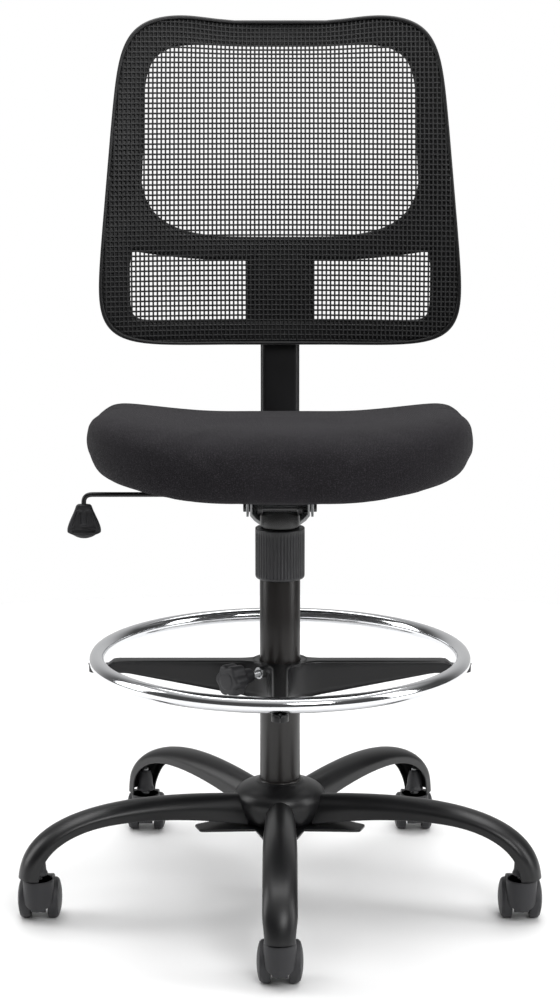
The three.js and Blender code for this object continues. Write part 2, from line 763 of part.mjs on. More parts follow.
place(seatFrame, 'seat_plate', seatPlateGeometry(), zinc);
const panTop = pan.bottom + pan.thickness;
place(seatFrame, 'seat_pan', clean(seatSlab(8, pan.inset, () => pan.bottom, () => panTop)), panBlack);
place(seatFrame, 'seat_cushion', cushionGeometry(), fabricCharcoal);

// ---- Back upright: a flat oval tube from under the seat plate up behind the back ----
function ovalPath(width, depth) {
  const r = depth / 2;
  const flat = width / 2 - r;
  const points = [];
  for (const [centre, from] of [[flat, -Math.PI / 2], [-flat, Math.PI / 2]]) {
    const steps = 4;
    for (let i = 0; i <= steps; i += 1) {
      const a = from + (Math.PI * i) / steps;
      points.push([centre + r * Math.cos(a), r * Math.sin(a)]);
    }
  }
  return points;
}

function uprightGeometry() {
  const section = outline(ovalPath(post.width, post.depth));
  const hollow = ovalPath(post.width - 2 * post.wall, post.depth - 2 * post.wall);
  section.holes.push(new THREE.Path(hollow.map(([x, y]) => new THREE.Vector2(x, y))));
  const under = pan.bottom - 2 * gap - plate.sheet - post.depth / 2; // in the seat's frame
  const [c, s] = [Math.cos(seatPitch), Math.sin(seatPitch)];
  const inWorld = (y) => new THREE.Vector2(y * c + under * s, seatHeight - y * s + under * c);
  const end = new THREE.Vector2(post.y, post.top);
  const path = bentPath(inWorld(post.start), inWorld(post.y), end, post.bend, 7);
  return carried(section, path, path.steps).rotateZ(Math.PI / 2);
}

place(chair, 'back_upright', clean(uprightGeometry()), satinBlack);

// ---- Back: frame with three openings, and the mesh stretched over its front ----
const backMiddle = (back.bottom + back.top) / 2;
const backHalf = (back.top - back.bottom) / 2;

function backWidth(z) {
  const rise = (z - back.bottom) / (back.top - back.bottom);
  return back.widthBottom + (back.widthTop - back.widthBottom) * rise;
}

// Front face of the back: lumbar upright, reclined above, sides wrapped forward.
function backDepth(x, z) {
  const above = Math.max(0, z - backCurve.start) / (back.top - backCurve.start);
  return backCurve.y + backCurve.recline * above ** 2 - backCurve.wrap * (x / backWidth(z)) ** 2;
}

function topDip(x, z) {
  const nearTop = THREE.MathUtils.smoothstep(z, backMiddle, back.top);
  return back.dip * nearTop * Math.exp(-((x / 75) ** 2));
}

function superellipse(steps, corner, at) {
  const points = [];
  for (let i = 0; i < steps; i += 1) {
    const a = (2 * Math.PI * (i + 0.5)) / steps;
    const c = Math.cos(a);
    const s = Math.sin(a);
    const power = 2 / corner(s);
    points.push(at(Math.sign(c) * Math.abs(c) ** power, Math.sign(s) * Math.abs(s) ** power));
  }
  return points;
}

function backFrameGeometry() {
  const rim = superellipse(44, () => back.corner, (u, v) => {
    const z = backMiddle + backHalf * v;
    const x = u * backWidth(z);
    return [x, z - topDip(x, z)];
  });
  const shape = outline(rim);
  const { bottom, top, halfWidth } = upperOpening;
  const corner = (s) => (s > 0 ? upperOpening.topCorner : upperOpening.lowCorner);
  const window = superellipse(28, corner, (u, v) => {
    const z = (bottom + top) / 2 + ((top - bottom) / 2) * v;
    const x = u * halfWidth;
    return [x, z - (v > 0 ? 0.5 * topDip(x, z + 40) : 0)];
  });
  shape.holes.push(new THREE.Path(window.map(([x, z]) => new THREE.Vector2(x, z))));
  for (const side of [-1, 1]) shape.holes.push(lowerWindow(side));
  const front = meshThickness + meshGap;
  const flat = drawnAlongY(shape, front, front + frameDepth);
  const fine = new TessellateModifier(75, 8).modify(flat);
  const curved = moveVertices(fine, (p) => {
    p.y += backDepth(p.x, p.z);
  });
  return clean(curved);
}

function lowerWindow(side) {
  const { inner, outer, bottom, innerTop, outerTop } = lowerOpening;
  const r = 14;
  const points = [
    [inner, bottom + 4], [inner + 4, bottom], [outer - r, bottom], [outer - 0.3 * r, bottom + 0.3 * r],
    [outer, bottom + r], [outer, outerTop - 6], [outer - 6, outerTop],
    [(inner + outer) / 2, (innerTop + outerTop) / 2], [inner + 5, innerTop], [inner, innerTop - 5],
  ];
  return new THREE.Path(points.map(([x, z]) => new THREE.Vector2(side * x, z)));
}

function backMeshGeometry() {
  const grid = slab(10, 10, (u, v, isTop) => {
    const s = roundedSquare(u, v, back.corner);
    const z = backMiddle + backHalf * v * s;
    const x = u * s * backWidth(z);
    const height = z - topDip(x, z);
    return new THREE.Vector3(x, backDepth(x, height) + (isTop ? 0 : meshThickness), height);
  });
  return clean(grid);
}

place(chair, 'back_frame', backFrameGeometry(), mouldedGrey);
place(chair, 'back_mesh', backMeshGeometry(), meshBlack);

export default chair;
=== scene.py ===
import math

import bmesh
import bpy
import numpy as np
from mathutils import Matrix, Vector


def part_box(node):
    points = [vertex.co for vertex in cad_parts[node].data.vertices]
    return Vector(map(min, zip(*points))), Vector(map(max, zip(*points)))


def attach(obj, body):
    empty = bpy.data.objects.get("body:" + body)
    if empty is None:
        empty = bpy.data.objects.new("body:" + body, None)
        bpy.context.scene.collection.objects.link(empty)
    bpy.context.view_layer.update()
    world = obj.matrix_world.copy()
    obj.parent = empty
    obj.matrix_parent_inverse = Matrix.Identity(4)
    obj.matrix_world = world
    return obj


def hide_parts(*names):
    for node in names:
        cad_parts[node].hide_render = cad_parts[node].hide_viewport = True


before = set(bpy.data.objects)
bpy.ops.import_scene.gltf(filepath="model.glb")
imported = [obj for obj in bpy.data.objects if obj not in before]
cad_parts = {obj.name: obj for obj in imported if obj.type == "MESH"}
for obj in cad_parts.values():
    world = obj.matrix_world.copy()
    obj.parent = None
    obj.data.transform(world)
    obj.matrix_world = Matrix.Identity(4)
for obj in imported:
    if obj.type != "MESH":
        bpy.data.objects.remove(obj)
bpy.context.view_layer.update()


# ---- Camera and light ----
# A long lens three metres in front of the chair, level with the top of its back and tipped down
# to its base, under broad soft lamps in a bright white room.
camera = bpy.data.objects.new("camera", bpy.data.cameras.new("camera"))
bpy.context.scene.collection.objects.link(camera)
camera.location = (0, -3.0, 1.0737)
TIPPED_DOWN = math.radians(10.676)
camera.rotation_euler = (math.pi / 2 - TIPPED_DOWN, 0, 0)
camera.data.lens = 89.5
bpy.context.scene.camera = camera


def lamp(name, place, aim_height, size, power):
    """A rectangular lamp of size (width, height) at place, turned to shine at the chair's axis at
    the height aim_height."""
    light = bpy.data.lights.new(name, "AREA")
    light.shape, light.size, light.size_y = "RECTANGLE", size[0], size[1]
    light.energy = power
    made = bpy.data.objects.new(name, light)
    bpy.context.scene.collection.objects.link(made)
    made.location = place
    made.rotation_mode = "QUATERNION"
    made.rotation_quaternion = (Vector((0, 0, aim_height)) - Vector(place)).to_track_quat("-Z", "Y")


lamp("overhead_lamp", (0.0, 0.5, 3.4), 0.3, (3.4, 2.6), 105)
lamp("left_soft_lamp", (-2.6, 0.3, 1.3), 0.6, (1.2, 2.2), 34)
lamp("right_soft_lamp", (2.5, -0.7, 1.3), 0.6, (0.9, 2.2), 30)
lamp("front_lamp", (1.1, -3.2, 2.3), 0.5, (1.5, 1.3), 56)


def white_room(base=0.07):
    """World light: pure white to the eye. As light its strength is the larger of a smooth rise from
    base towards the ceiling and a smooth rise from base towards the wall behind the chair."""
    made = bpy.data.worlds.new("white_room")
    made.use_nodes = True
    tree = made.node_tree
    split = tree.nodes.new("ShaderNodeSeparateXYZ")
    tree.links.new(tree.nodes.new("ShaderNodeTexCoord").outputs["Generated"], split.inputs[0])
    rises = []
    for axis, low, high, top in (("Z", 0.45, 1.0, 0.8), ("Y", 0.4, 1.0, 0.6)):
        rise = tree.nodes.new("ShaderNodeMapRange")
        rise.interpolation_type = "SMOOTHSTEP"
        rise.inputs["From Min"].default_value, rise.inputs["From Max"].default_value = low, high
        rise.inputs["To Min"].default_value, rise.inputs["To Max"].default_value = base, top
        tree.links.new(split.outputs[axis], rise.inputs["Value"])
        rises.append(rise.outputs["Result"])
    brightest = tree.nodes.new("ShaderNodeMath")
    brightest.operation = "MAXIMUM"
    for rise, socket in zip(rises, brightest.inputs):
        tree.links.new(rise, socket)
    sees = tree.nodes.new("ShaderNodeMix")
    tree.links.new(tree.nodes.new("ShaderNodeLightPath").outputs["Is Camera Ray"], sees.inputs["Factor"])
    tree.links.new(brightest.outputs[0], sees.inputs["A"])
    sees.inputs["B"].default_value = 1.0
    background = tree.nodes["Background"]
    background.inputs["Color"].default_value = (1, 1, 1, 1)
    tree.links.new(sees.outputs["Result"], background.inputs["Strength"])
    return made


bpy.context.scene.world = white_room()
bpy.context.scene.view_settings.view_transform = "Standard"


# ---- Base: hub ----
# The dome that the legs are welded into, pressed from steel sheet and powder coated satin black,
# with a turned lip round the column.
def mesh_piece(name, points, faces, sharp=40):
    """One closed mesh object at the origin: faces turned outward, edges over sharp degrees kept crisp."""
    mesh = bpy.data.meshes.new(name)
    mesh.from_pydata(np.asarray(points, float).tolist(), [], [tuple(f) for f in faces])
    work = bmesh.new()
    work.from_mesh(mesh)
    bmesh.ops.remove_doubles(work, verts=work.verts, dist=1e-6)
    bmesh.ops.recalc_face_normals(work, faces=work.faces)
    work.to_mesh(mesh)
    work.free()
    mesh.shade_smooth()
    mesh.set_sharp_from_angle(angle=math.radians(sharp))
    made = bpy.data.objects.new(name, mesh)
    bpy.context.scene.collection.objects.link(made)
    return made


def grid(points, closed_u=False, closed_v=False, caps=False, first=0):
    """Faces of a grid points[u, v]: each cell is one quad, a closed way joins its last row to its
    first, and caps fill the first and the last row with one face each."""
    nu, nv = points.shape[:2]
    u, v = np.meshgrid(np.arange(nu - (not closed_u)), np.arange(nv - (not closed_v)), indexing="ij")
    u2, v2 = (u + 1) % nu, (v + 1) % nv
    quads = np.stack([u * nv + v, u2 * nv + v, u2 * nv + v2, u * nv + v2], -1).reshape(-1, 4) + first
    faces = quads.tolist()
    if caps:
        faces += [list(range(first, first + nv)), list(range(first + (nu - 1) * nv, first + nu * nv))]
    return faces


def piece(name, grids, body, replaced, material, sharp=40):
    """Joins grids, each (points[u, v, 3], closed_u, closed_v, caps), into one piece on a CAD body."""
    points, faces, count = [], [], 0
    for places, closed_u, closed_v, caps in grids:
        faces += grid(places, closed_u, closed_v, caps, count)
        points.append(places.reshape(-1, 3))
        count += len(points[-1])
    made = mesh_piece(name, np.concatenate(points), faces, sharp)
    made.data.materials.append(material)
    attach(made, body)
    if replaced:
        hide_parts(*replaced)
    return made


def filleted(corners, radius, steps=5, closed=False):
    """A polyline whose corners are replaced by parabolic arcs that start radius before each corner
    and end radius after it, or half an edge where the edge is short. A radius may be a list."""
    p = np.asarray(corners, float)
    radii = np.broadcast_to(radius, len(p))
    out = []
    for i, at in enumerate(p):
        before, after = p[i - 1], p[(i + 1) % len(p)]
        if (not closed and i in (0, len(p) - 1)) or radii[i] == 0:
            out.append(at)
            continue
        a, b = before - at, after - at
        la, lb = np.linalg.norm(a), np.linalg.norm(b)
        a, b = a / la * min(radii[i], la / 2), b / lb * min(radii[i], lb / 2)
        for t in np.linspace(0, 1, steps):
            out.append(at + a * (1 - t) ** 2 + b * t ** 2)
    return np.array(out)


def whole_turn(steps):
    """Evenly spaced angles once round."""
    return np.arange(steps) * math.tau / steps


def polar(r, a, z):
    """Points at radius r and angle a round Z, at height z."""
    return np.stack([r * np.cos(a), r * np.sin(a), z + 0 * a], -1)


def turned(profile, axis="z", centre=(0, 0, 0), segments=96):
    """Grid of a profile [[radius, height], ...] turned once round the axis through centre."""
    profile = np.asarray(profile, float)
    places = polar(profile[:, 0, None], whole_turn(segments), profile[:, 1, None])
    if axis == "x":
        places = places[..., [2, 0, 1]]
    return places + np.asarray(centre, float)


def ring_grid(profile, **where):
    """A turned grid whose profile closes on itself."""
    return turned(profile, **where), True, True, False


def plug_grid(profile, **where):
    """A turned grid whose profile starts and ends on, or is capped at, the axis."""
    return turned(profile, **where), False, True, True


def turned_piece(name, body, node, material, corners, radius, steps=4, closed=False, **where):
    """One piece turned from a filleted profile, open to the axis or closed, in place of a CAD node."""
    shape = turned(filleted(corners, radius, steps, closed), **where)
    return piece(name, [(shape, closed, True, not closed)], body, [node], material)


def new_group(name, sockets_in, sockets_out):
    """An empty shader node group with the named inputs {name: (type, default)} and outputs."""
    made = bpy.data.node_groups.new(name, "ShaderNodeTree")
    for label, (kind, value) in sockets_in.items():
        socket = made.interface.new_socket(label, in_out="INPUT", socket_type=kind)
        socket.default_value = value
    for label, kind in sockets_out.items():
        made.interface.new_socket(label, in_out="OUTPUT", socket_type=kind)
    return made, made.nodes.new("NodeGroupInput"), made.nodes.new("NodeGroupOutput")


FLOAT, COLOUR = "NodeSocketFloat", "NodeSocketColor"


def noise(tree, coordinates, scale, detail=3.0, roughness=0.5):
    """A noise texture on the given coordinates; scale is a number or an output socket."""
    made = tree.nodes.new("ShaderNodeTexNoise")
    made.inputs["Detail"].default_value = detail
    made.inputs["Roughness"].default_value = roughness
    tree.links.new(coordinates, made.inputs["Vector"])
    if isinstance(scale, (int, float)):
        made.inputs["Scale"].default_value = scale
    else:
        tree.links.new(scale, made.inputs["Scale"])
    return made.outputs["Fac"]


def math_node(tree, operation, a, b=0.0, c=0.0, clamp=False):
    """One Math node on numbers or output sockets."""
    made = tree.nodes.new("ShaderNodeMath")
    made.operation, made.use_clamp = operation, clamp
    for socket, value in zip(made.inputs, (a, b, c)):
        if isinstance(value, (int, float)):
            socket.default_value = value
        else:
            tree.links.new(value, socket)
    return made.outputs[0]


def mixed(tree, factor, a, b):
    """Mixes two colours, given as output sockets or as tuples, by a factor socket."""
    made = tree.nodes.new("ShaderNodeMix")
    made.data_type = "RGBA"
    tree.links.new(factor, made.inputs["Factor"])
    for socket, value in ((made.inputs["A"], a), (made.inputs["B"], b)):
        if isinstance(value, tuple):
            socket.default_value = (*value, 1)
        else:
            tree.links.new(value, socket)
    return made.outputs["Result"]


def make_coating_group():
    """Colour and roughness that drift in broad patches, paler on outer edges, with a fine grain.

    Patch and Grain are noises at Patch Size and Grain Size, and edge is eight times what Pointiness
    is over 0.52, times Edge. The colour runs from Colour to Pale by 0.6 of the raised Patch plus
    edge, Roughness is Rough plus Spread times (Patch + Grain - 1), and Height is Grain."""
    tree, inside, outside = new_group(
        "coating",
        {
            "Colour": (COLOUR, (0.02, 0.02, 0.02, 1)),
            "Pale": (COLOUR, (0.05, 0.05, 0.05, 1)),
            "Patch Size": (FLOAT, 12.0),
            "Grain Size": (FLOAT, 900.0),
            "Rough": (FLOAT, 0.4),
            "Spread": (FLOAT, 0.12),
            "Edge": (FLOAT, 0.5),
        },
        {"Colour": COLOUR, "Roughness": FLOAT, "Height": FLOAT},
    )
    at = tree.nodes.new("ShaderNodeTexCoord").outputs["Object"]
    patch = noise(tree, at, inside.outputs["Patch Size"], 4)
    grain = noise(tree, at, inside.outputs["Grain Size"], 2)
    pointy = tree.nodes.new("ShaderNodeNewGeometry").outputs["Pointiness"]
    edge = math_node(tree, "MULTIPLY", math_node(tree, "SUBTRACT", pointy, 0.52), 8.0, clamp=True)
    edge = math_node(tree, "MULTIPLY", edge, inside.outputs["Edge"])
    blotch = math_node(tree, "MULTIPLY_ADD", patch, 0.9, -0.25, clamp=True)
    factor = math_node(tree, "ADD", math_node(tree, "MULTIPLY", blotch, 0.6), edge, clamp=True)
    colour = mixed(tree, factor, inside.outputs["Colour"], inside.outputs["Pale"])
    tree.links.new(colour, outside.inputs["Colour"])
    both = math_node(tree, "ADD", patch, grain)
    swing = math_node(tree, "MULTIPLY", math_node(tree, "SUBTRACT", both, 1.0), inside.outputs["Spread"])
    rough = math_node(tree, "ADD", swing, inside.outputs["Rough"], clamp=True)
    tree.links.new(rough, outside.inputs["Roughness"])
    tree.links.new(grain, outside.inputs["Height"])
    return tree


coating = make_coating_group()


def shader(name):
    """A new material and its node tree and Principled shader."""
    made = bpy.data.materials.new(name)
    made.use_nodes = True
    return made, made.node_tree, made.node_tree.nodes["Principled BSDF"]


def bumped(tree, bsdf, height, depth, strength=1.0):
    """Feeds a height through a Bump node of that depth in metres to the shader's normal."""
    bump = tree.nodes.new("ShaderNodeBump")
    bump.inputs["Distance"].default_value = depth
    bump.inputs["Strength"].default_value = strength
    tree.links.new(height, bump.inputs["Height"])
    tree.links.new(bump.outputs["Normal"], bsdf.inputs["Normal"])


def coated(name, colour, pale, rough, spread=0.12, patch=12, grain=900, depth=0.00004, metal=0.0,
           coat=0.0, edge=0.5, specular=0.5):
    """A material of the coating group: its colours, roughness, sizes and bump depth."""
    made, tree, bsdf = shader(name)
    group = tree.nodes.new("ShaderNodeGroup")
    group.node_tree = coating
    values = {"Colour": (*colour, 1), "Pale": (*pale, 1), "Patch Size": patch, "Grain Size": grain,
              "Rough": rough, "Spread": spread, "Edge": edge}
    for label, value in values.items():
        group.inputs[label].default_value = value
    tree.links.new(group.outputs["Colour"], bsdf.inputs["Base Color"])
    tree.links.new(group.outputs["Roughness"], bsdf.inputs["Roughness"])
    bumped(tree, bsdf, group.outputs["Height"], depth)
    bsdf.inputs["Metallic"].default_value = metal
    bsdf.inputs["Coat Weight"].default_value = coat
    bsdf.inputs["Coat Roughness"].default_value = 0.25
    bsdf.inputs["Specular IOR Level"].default_value = specular
    return made


satin_black = coated("satin_black_powder_coat", (0.0045, 0.0045, 0.0050), (0.016, 0.016, 0.018),
                     rough=0.36, spread=0.10, grain=1400, depth=0.00003, specular=0.4)

hub_low, hub_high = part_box("base_hub")
BORE = 0.0254
hub_top, hub_floor = hub_high.z, hub_low.z
hub_outline = [
    [0.0290, hub_top], [0.0305, hub_top - 0.0018], [0.0400, hub_top - 0.0042],
    [0.0520, hub_top - 0.0098], [0.0578, hub_top - 0.0190], [0.0576, hub_top - 0.0290],
    [0.0535, hub_top - 0.0420], [0.0470, hub_floor + 0.0015], [0.0450, hub_floor],
]
hub_profile = np.concatenate([filleted([[BORE, hub_top], *hub_outline], 0.012, 7), [[BORE, hub_floor]]])
piece("base_hub_dome", [ring_grid(hub_profile)], "base", ["base_hub"], satin_black, sharp=60)


# ---- Base: star plate ----
# The thin star welded under the hub, cut from steel plate and coated with it: a rounded finger
# reaches below each leg.
star_low, star_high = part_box("base_star_plate")
star_top, star_floor = star_high.z, star_low.z


def star_radius(angle):
    """Radius of the five-fingered outline at an angle: the smaller of the radius of a finger's
    straight side, which passes 40.76 mm from the centre, and of its end at 108.5 mm, rounded where
    they meet as (side^-p + end^-p)^(-1/p)."""
    off = np.abs((angle + math.pi / 2 + math.tau / 10) % (math.tau / 5) - math.tau / 10)
    side = 0.04076 / (0.2692 * np.cos(off) + 0.9631 * np.sin(off))
    end = 0.1085 / np.cos(off)
    power = 40
    return (side ** -power + end ** -power) ** (-1 / power)


angles = whole_turn(600)
rim = star_radius(angles)
BREAK = 0.0005
levels = [(BORE / rim, star_top), (1 - BREAK / rim, star_top), (1 + 0 * rim, star_top - BREAK),
          (1 + 0 * rim, star_floor + BREAK), (1 - BREAK / rim, star_floor), (BORE / rim, star_floor)]
star_points = np.stack([polar(rim * share, angles, height) for share, height in levels])
piece("base_star_cut_plate", [(star_points, True, True, False)], "base", ["base_star_plate"], satin_black)


# ---- Base: legs ----
# Five legs, each bent from one pressed steel channel: arched on top, open below, standing upright
# over its caster, with the plastic socket for the caster's stem in its end.
LEG_COUNT = 5
CASTER_CIRCLE = 0.311


def leg_angle(k):
    """Direction of leg k, the first one straight to the front."""
    return -math.pi / 2 + math.tau * k / LEG_COUNT


def rotated(points, angle):
    """Points turned round Z by an angle."""
    c, s = math.cos(angle), math.sin(angle)
    x, y = points[..., 0], points[..., 1]
    return np.stack([x * c - y * s, x * s + y * c, points[..., 2]], -1)


def bezier(p0, p1, p2, p3, t):
    """Points and unit tangents of a cubic curve through p0 and p3."""
    p0, p1, p2, p3 = (np.asarray(p, float) for p in (p0, p1, p2, p3))
    t = t[:, None]
    at = (1 - t) ** 3 * p0 + 3 * (1 - t) ** 2 * t * p1 + 3 * (1 - t) * t ** 2 * p2 + t ** 3 * p3
    way = 3 * ((1 - t) ** 2 * (p1 - p0) + 2 * (1 - t) * t * (p2 - p1) + t ** 2 * (p3 - p2))
    return at, way / np.linalg.norm(way, axis=1, keepdims=True)


def smoothstep(x, low, high):
    """Cubic ease from 0 at low to 1 at high."""
    t = np.clip((x - low) / (high - low), 0, 1)
    return t * t * (3 - 2 * t)


LEG_HALF, LEG_DEPTH = 0.0205, 0.021


def channel_section(half=LEG_HALF, skirt=LEG_DEPTH, arch=0.013, wall=0.0022):
    """Closed outline (across, up) of an arched channel: half an ellipse over two straight skirts,
    and the same one wall thickness further in, joined by rounded lips."""
    a = np.linspace(0, math.pi, 25)
    outer = np.stack([half * np.cos(a), arch * (np.sin(a) - 1)], -1)
    inner = np.stack([(half - wall) * np.cos(a), (arch - wall) * np.sin(a) - arch], -1)[::-1]
    down = np.linspace(-arch, -skirt, 5)[1:-1]
    right = np.stack([half + 0 * down, down], -1)
    left_in = np.stack([wall - half + 0 * down, down], -1)
    lip = np.array([[1, 0.0], [0.85, -0.0006], [0.5, -0.0009], [0.15, -0.0006], [0, 0.0]])
    left_lip = np.stack([-half + wall * (1 - lip[:, 0]), -skirt + 0.0009 + lip[:, 1]], -1)
    right_lip = np.stack([half - wall + wall * lip[:, 0][::-1], -skirt + 0.0009 + lip[::-1, 1]], -1)
    left = right * [-1, 1]
    right_in = left_in * [-1, 1]
    return np.concatenate([outer, left, left_lip, left_in[::-1], inner, right_in, right_lip, right[::-1]])


def leg_grid():
    """The channel section carried along the leg's curve in the XZ plane. Its width rises from 36 to
    41 mm and falls back at the end; its depth falls from 36 mm by a square law to 15 mm and eases
    up to 21 mm."""
    t = np.linspace(0, 1, 56)
    end = CASTER_CIRCLE + 0.024
    at, way = bezier([0.044, 0.1375], [CASTER_CIRCLE / 2, 0.150], [end - 0.009, 0.156], [end, 0.058], t)
    width = (0.036 + 0.005 * smoothstep(t, 0, 0.45) - 0.005 * smoothstep(t, 0.85, 1)) / (2 * LEG_HALF)
    depth = (0.015 + 0.021 * (1 - t) ** 2 + 0.006 * smoothstep(t, 0.5, 1)) / LEG_DEPTH
    section = channel_section()
    across = section[None, :, 0] * width[:, None]
    up = section[None, :, 1] * depth[:, None]
    x = at[:, None, 0] - way[:, None, 1] * up
    z = at[:, None, 1] + way[:, None, 0] * up
    return np.stack([x, across, z], -1)


moulded_grey = coated("moulded_dark_grey_nylon", (0.017, 0.017, 0.019), (0.038, 0.038, 0.042),
                      rough=0.50, spread=0.14, patch=20, grain=1700, depth=0.00005, edge=0.35, specular=0.4)
socket_low, socket_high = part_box("stem_socket_1")
socket_profile = filleted([
    [0.0058, socket_low.z], [0.0118, socket_low.z], [0.0118, socket_low.z + 0.003],
    [0.0100, socket_low.z + 0.006], [0.0092, socket_high.z - 0.010], [0.0070, socket_high.z],
    [0.0058, socket_high.z],
], 0.0022, 5, closed=True)
leg_shape = leg_grid()
stem_places = [rotated(np.array([CASTER_CIRCLE, 0, 0]), leg_angle(k)) for k in range(LEG_COUNT)]
for k, place in enumerate(stem_places):
    leg = rotated(leg_shape, leg_angle(k))
    piece(f"leg_channel_{k + 1}", [(leg, False, True, True)], "base", [f"leg_{k + 1}"], satin_black,
          sharp=50)
    piece(f"caster_socket_{k + 1}", [ring_grid(socket_profile, centre=place, segments=48)], "base",
          [f"stem_socket_{k + 1}"], moulded_grey)


# ---- Casters ----
# Twin-wheel casters moulded in dark grey nylon: a bucket-shaped hood with the steel stem standing
# in its cup, two domed wheels on a steel axle behind it.
zinc = coated("zinc_plated_steel", (0.40, 0.41, 0.42), (0.60, 0.60, 0.59), rough=0.36, spread=0.16,
              patch=35, grain=2500, depth=0.00002, metal=1.0, edge=0.3)
WHEEL, TRAIL = 0.025, 0.018
CUP_RADIUS, CUP_TOP, CUP_FLOOR = 0.019, 0.055, 0.044


def hood_bucket():
    """Closed loops at rising heights: an outer arc round the front of radius 19 mm and the same arc
    one wall further in. The arc's half-angle grows from 34 degrees at the foot to the whole round
    at the cup, so the front is a shield and the top a ring; the shield's foot curves up by the
    square of the angle."""
    heights = np.concatenate([np.linspace(0.0175, 0.042, 26), np.linspace(0.0432, CUP_TOP - 0.0008, 5),
                              [CUP_TOP - 0.0003, CUP_TOP]])
    share = (heights - heights[0]) / (0.038 - heights[0])
    share = np.clip(share, 0, 1)
    half = np.radians(34 + 62 * share ** 0.75) + np.radians(84) * smoothstep(heights, 0.0365, 0.0425)
    radius = CUP_RADIUS - 0.0012 * (1 - share) ** 2
    radius[-2:] -= [0.0003, 0.0010]
    wall = np.full(len(heights), 0.0022)
    wall[-2:] = [0.0017, 0.0006]
    s = np.linspace(-1, 1, 61)
    angle = half[:, None] * s
    foot = 0.0035 * (s ** 2) * (1 - share)[:, None] ** 3
    z = heights[:, None] + foot
    outer = np.stack([radius[:, None] * np.sin(angle), -radius[:, None] * np.cos(angle), z], -1)
    inner_r = radius - wall
    inner = np.stack([inner_r[:, None] * np.sin(angle), -inner_r[:, None] * np.cos(angle), z], -1)
    return np.concatenate([outer, inner[:, ::-1]], 1)


def arc_points(centre, radius, start, end, steps):
    """Points [y, z] of an arc round centre from start to end degrees."""
    a = np.radians(np.linspace(start, end, steps))
    return np.stack([centre[0] + radius * np.cos(a), centre[1] + radius * np.sin(a)], -1)


def plate_along_x(outline, half, bevel=0.0008):
    """Grid of an outline [y, z] drawn from -half to half along X. The two faces are the outline
    drawn in towards its mean point by the bevel, as a share of each point's distance from there."""
    middle = outline.mean(0)
    shortest = 0.004
    reach = np.linalg.norm(outline - middle, axis=1, keepdims=True)
    drawn_in = middle + (outline - middle) * (1 - bevel / np.maximum(reach, shortest))
    rows = [(drawn_in, -half), (outline, bevel - half), (outline, half - bevel), (drawn_in, half)]
    return np.stack([np.stack([0 * o[:, 0] + x, o[:, 0], o[:, 1]], -1) for o, x in rows])


def caster_hood_grids():
    """Bucket, cup floor with its boss, web between the wheels, fender over them and a small lug
    beside the cup, placed about the foot of the stem's axis."""
    hub = (TRAIL, WHEEL)
    floor = filleted([[0, CUP_FLOOR - 0.006], [0.0172, CUP_FLOOR - 0.006], [0.0172, CUP_FLOOR],
                      [0.0098, CUP_FLOOR], [0.0092, CUP_TOP - 0.003], [0, CUP_TOP - 0.003]], 0.0008, 4)
    web = np.concatenate([arc_points(hub, 0.0268, 205, -18, 40), arc_points(hub, 0.0072, -18, 205, 16)])
    fender_out = arc_points(hub, 0.0290, 152, 6, 40)
    fender_in = arc_points(hub, 0.0266, 6, 152, 40)
    fender = np.concatenate([fender_out, fender_in])
    tab = np.array([[0.004, 0.051], [0.013, 0.051], [0.0125, 0.0558], [0.0115, 0.0566], [0.0055, 0.0566],
                    [0.0045, 0.0558]])
    lug = plate_along_x(tab, 0.0014, 0.0004)
    lug[..., 0] += CUP_RADIUS - 0.0034
    return [
        (hood_bucket(), False, True, True),
        plug_grid(floor, segments=64),
        (plate_along_x(web, 0.0092), False, True, True),
        (plate_along_x(fender, 0.0172), False, True, True),
        (lug, False, True, True),
    ]


def wheel_grid(side):
    """A wheel turned round the axle: open inner face with a rim, flat tread, a fine groove beside
    the tread and a domed outer face."""
    x0, crown = 0.0108, 0.0270
    dome_r = np.linspace(0.0228, 0.0, 14)
    dome = np.stack([dome_r, crown - 0.0036 * (dome_r / 0.0228) ** 2.4], -1)
    profile = np.concatenate([
        [[0.0, x0 + 0.0030], [0.0060, x0 + 0.0030], [0.0064, x0 + 0.0004], [0.0080, x0 + 0.0004]],
        [[0.0084, x0 + 0.0032], [0.0212, x0 + 0.0032], [0.0220, x0]],
        filleted([[0.0230, x0], [WHEEL, x0], [WHEEL, 0.0203], [0.0240, 0.0222]], 0.0014, 5),
        [[0.0236, 0.0223], [0.0234, 0.0219], [0.0231, 0.0219], [0.0230, 0.0226]],
        dome,
    ])
    profile[:, 1] *= side
    return plug_grid(profile, axis="x", segments=72)


for k, stem_at in enumerate(stem_places):
    caster = f"caster_{k + 1}"
    lug_side = [-1, 1, 1] if k in (0, 1, 2) else [1, 1, 1]
    hood = [(shape * lug_side + stem_at, *rest) for shape, *rest in caster_hood_grids()]
    piece(f"{caster}_moulded_hood", hood, caster, [f"{caster}_hood"], moulded_grey)
    low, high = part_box(f"{caster}_stem")
    stem = [[0, low.z], [0.0055, low.z], [0.0055, high.z - 0.0060], [0.0044, high.z - 0.0045],
            [0.0049, high.z - 0.0020], [0.0030, high.z], [0, high.z]]
    turned_piece(f"{caster}_steel_stem", caster, f"{caster}_stem", zinc, stem, 0.0012, centre=stem_at,
                 segments=32)
    low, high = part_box(f"{caster}_axle")
    axle = [[0, low.x], [0.0031, low.x], [0.0031, high.x], [0, high.x]]
    axle_centre = stem_at + [0, TRAIL, WHEEL]
    turned_piece(f"{caster}_steel_axle", caster, f"{caster}_axle", zinc, axle, 0.0006, 3, axis="x",
                 centre=axle_centre * [0, 1, 1], segments=24)
    for side, word in ((-1, "left"), (1, "right")):
        shape, *rest = wheel_grid(side)
        node = f"{caster}_wheel_{word}"
        piece(f"{caster}_domed_wheel_{word}", [(shape + axle_centre, *rest)], node, [node], moulded_grey)


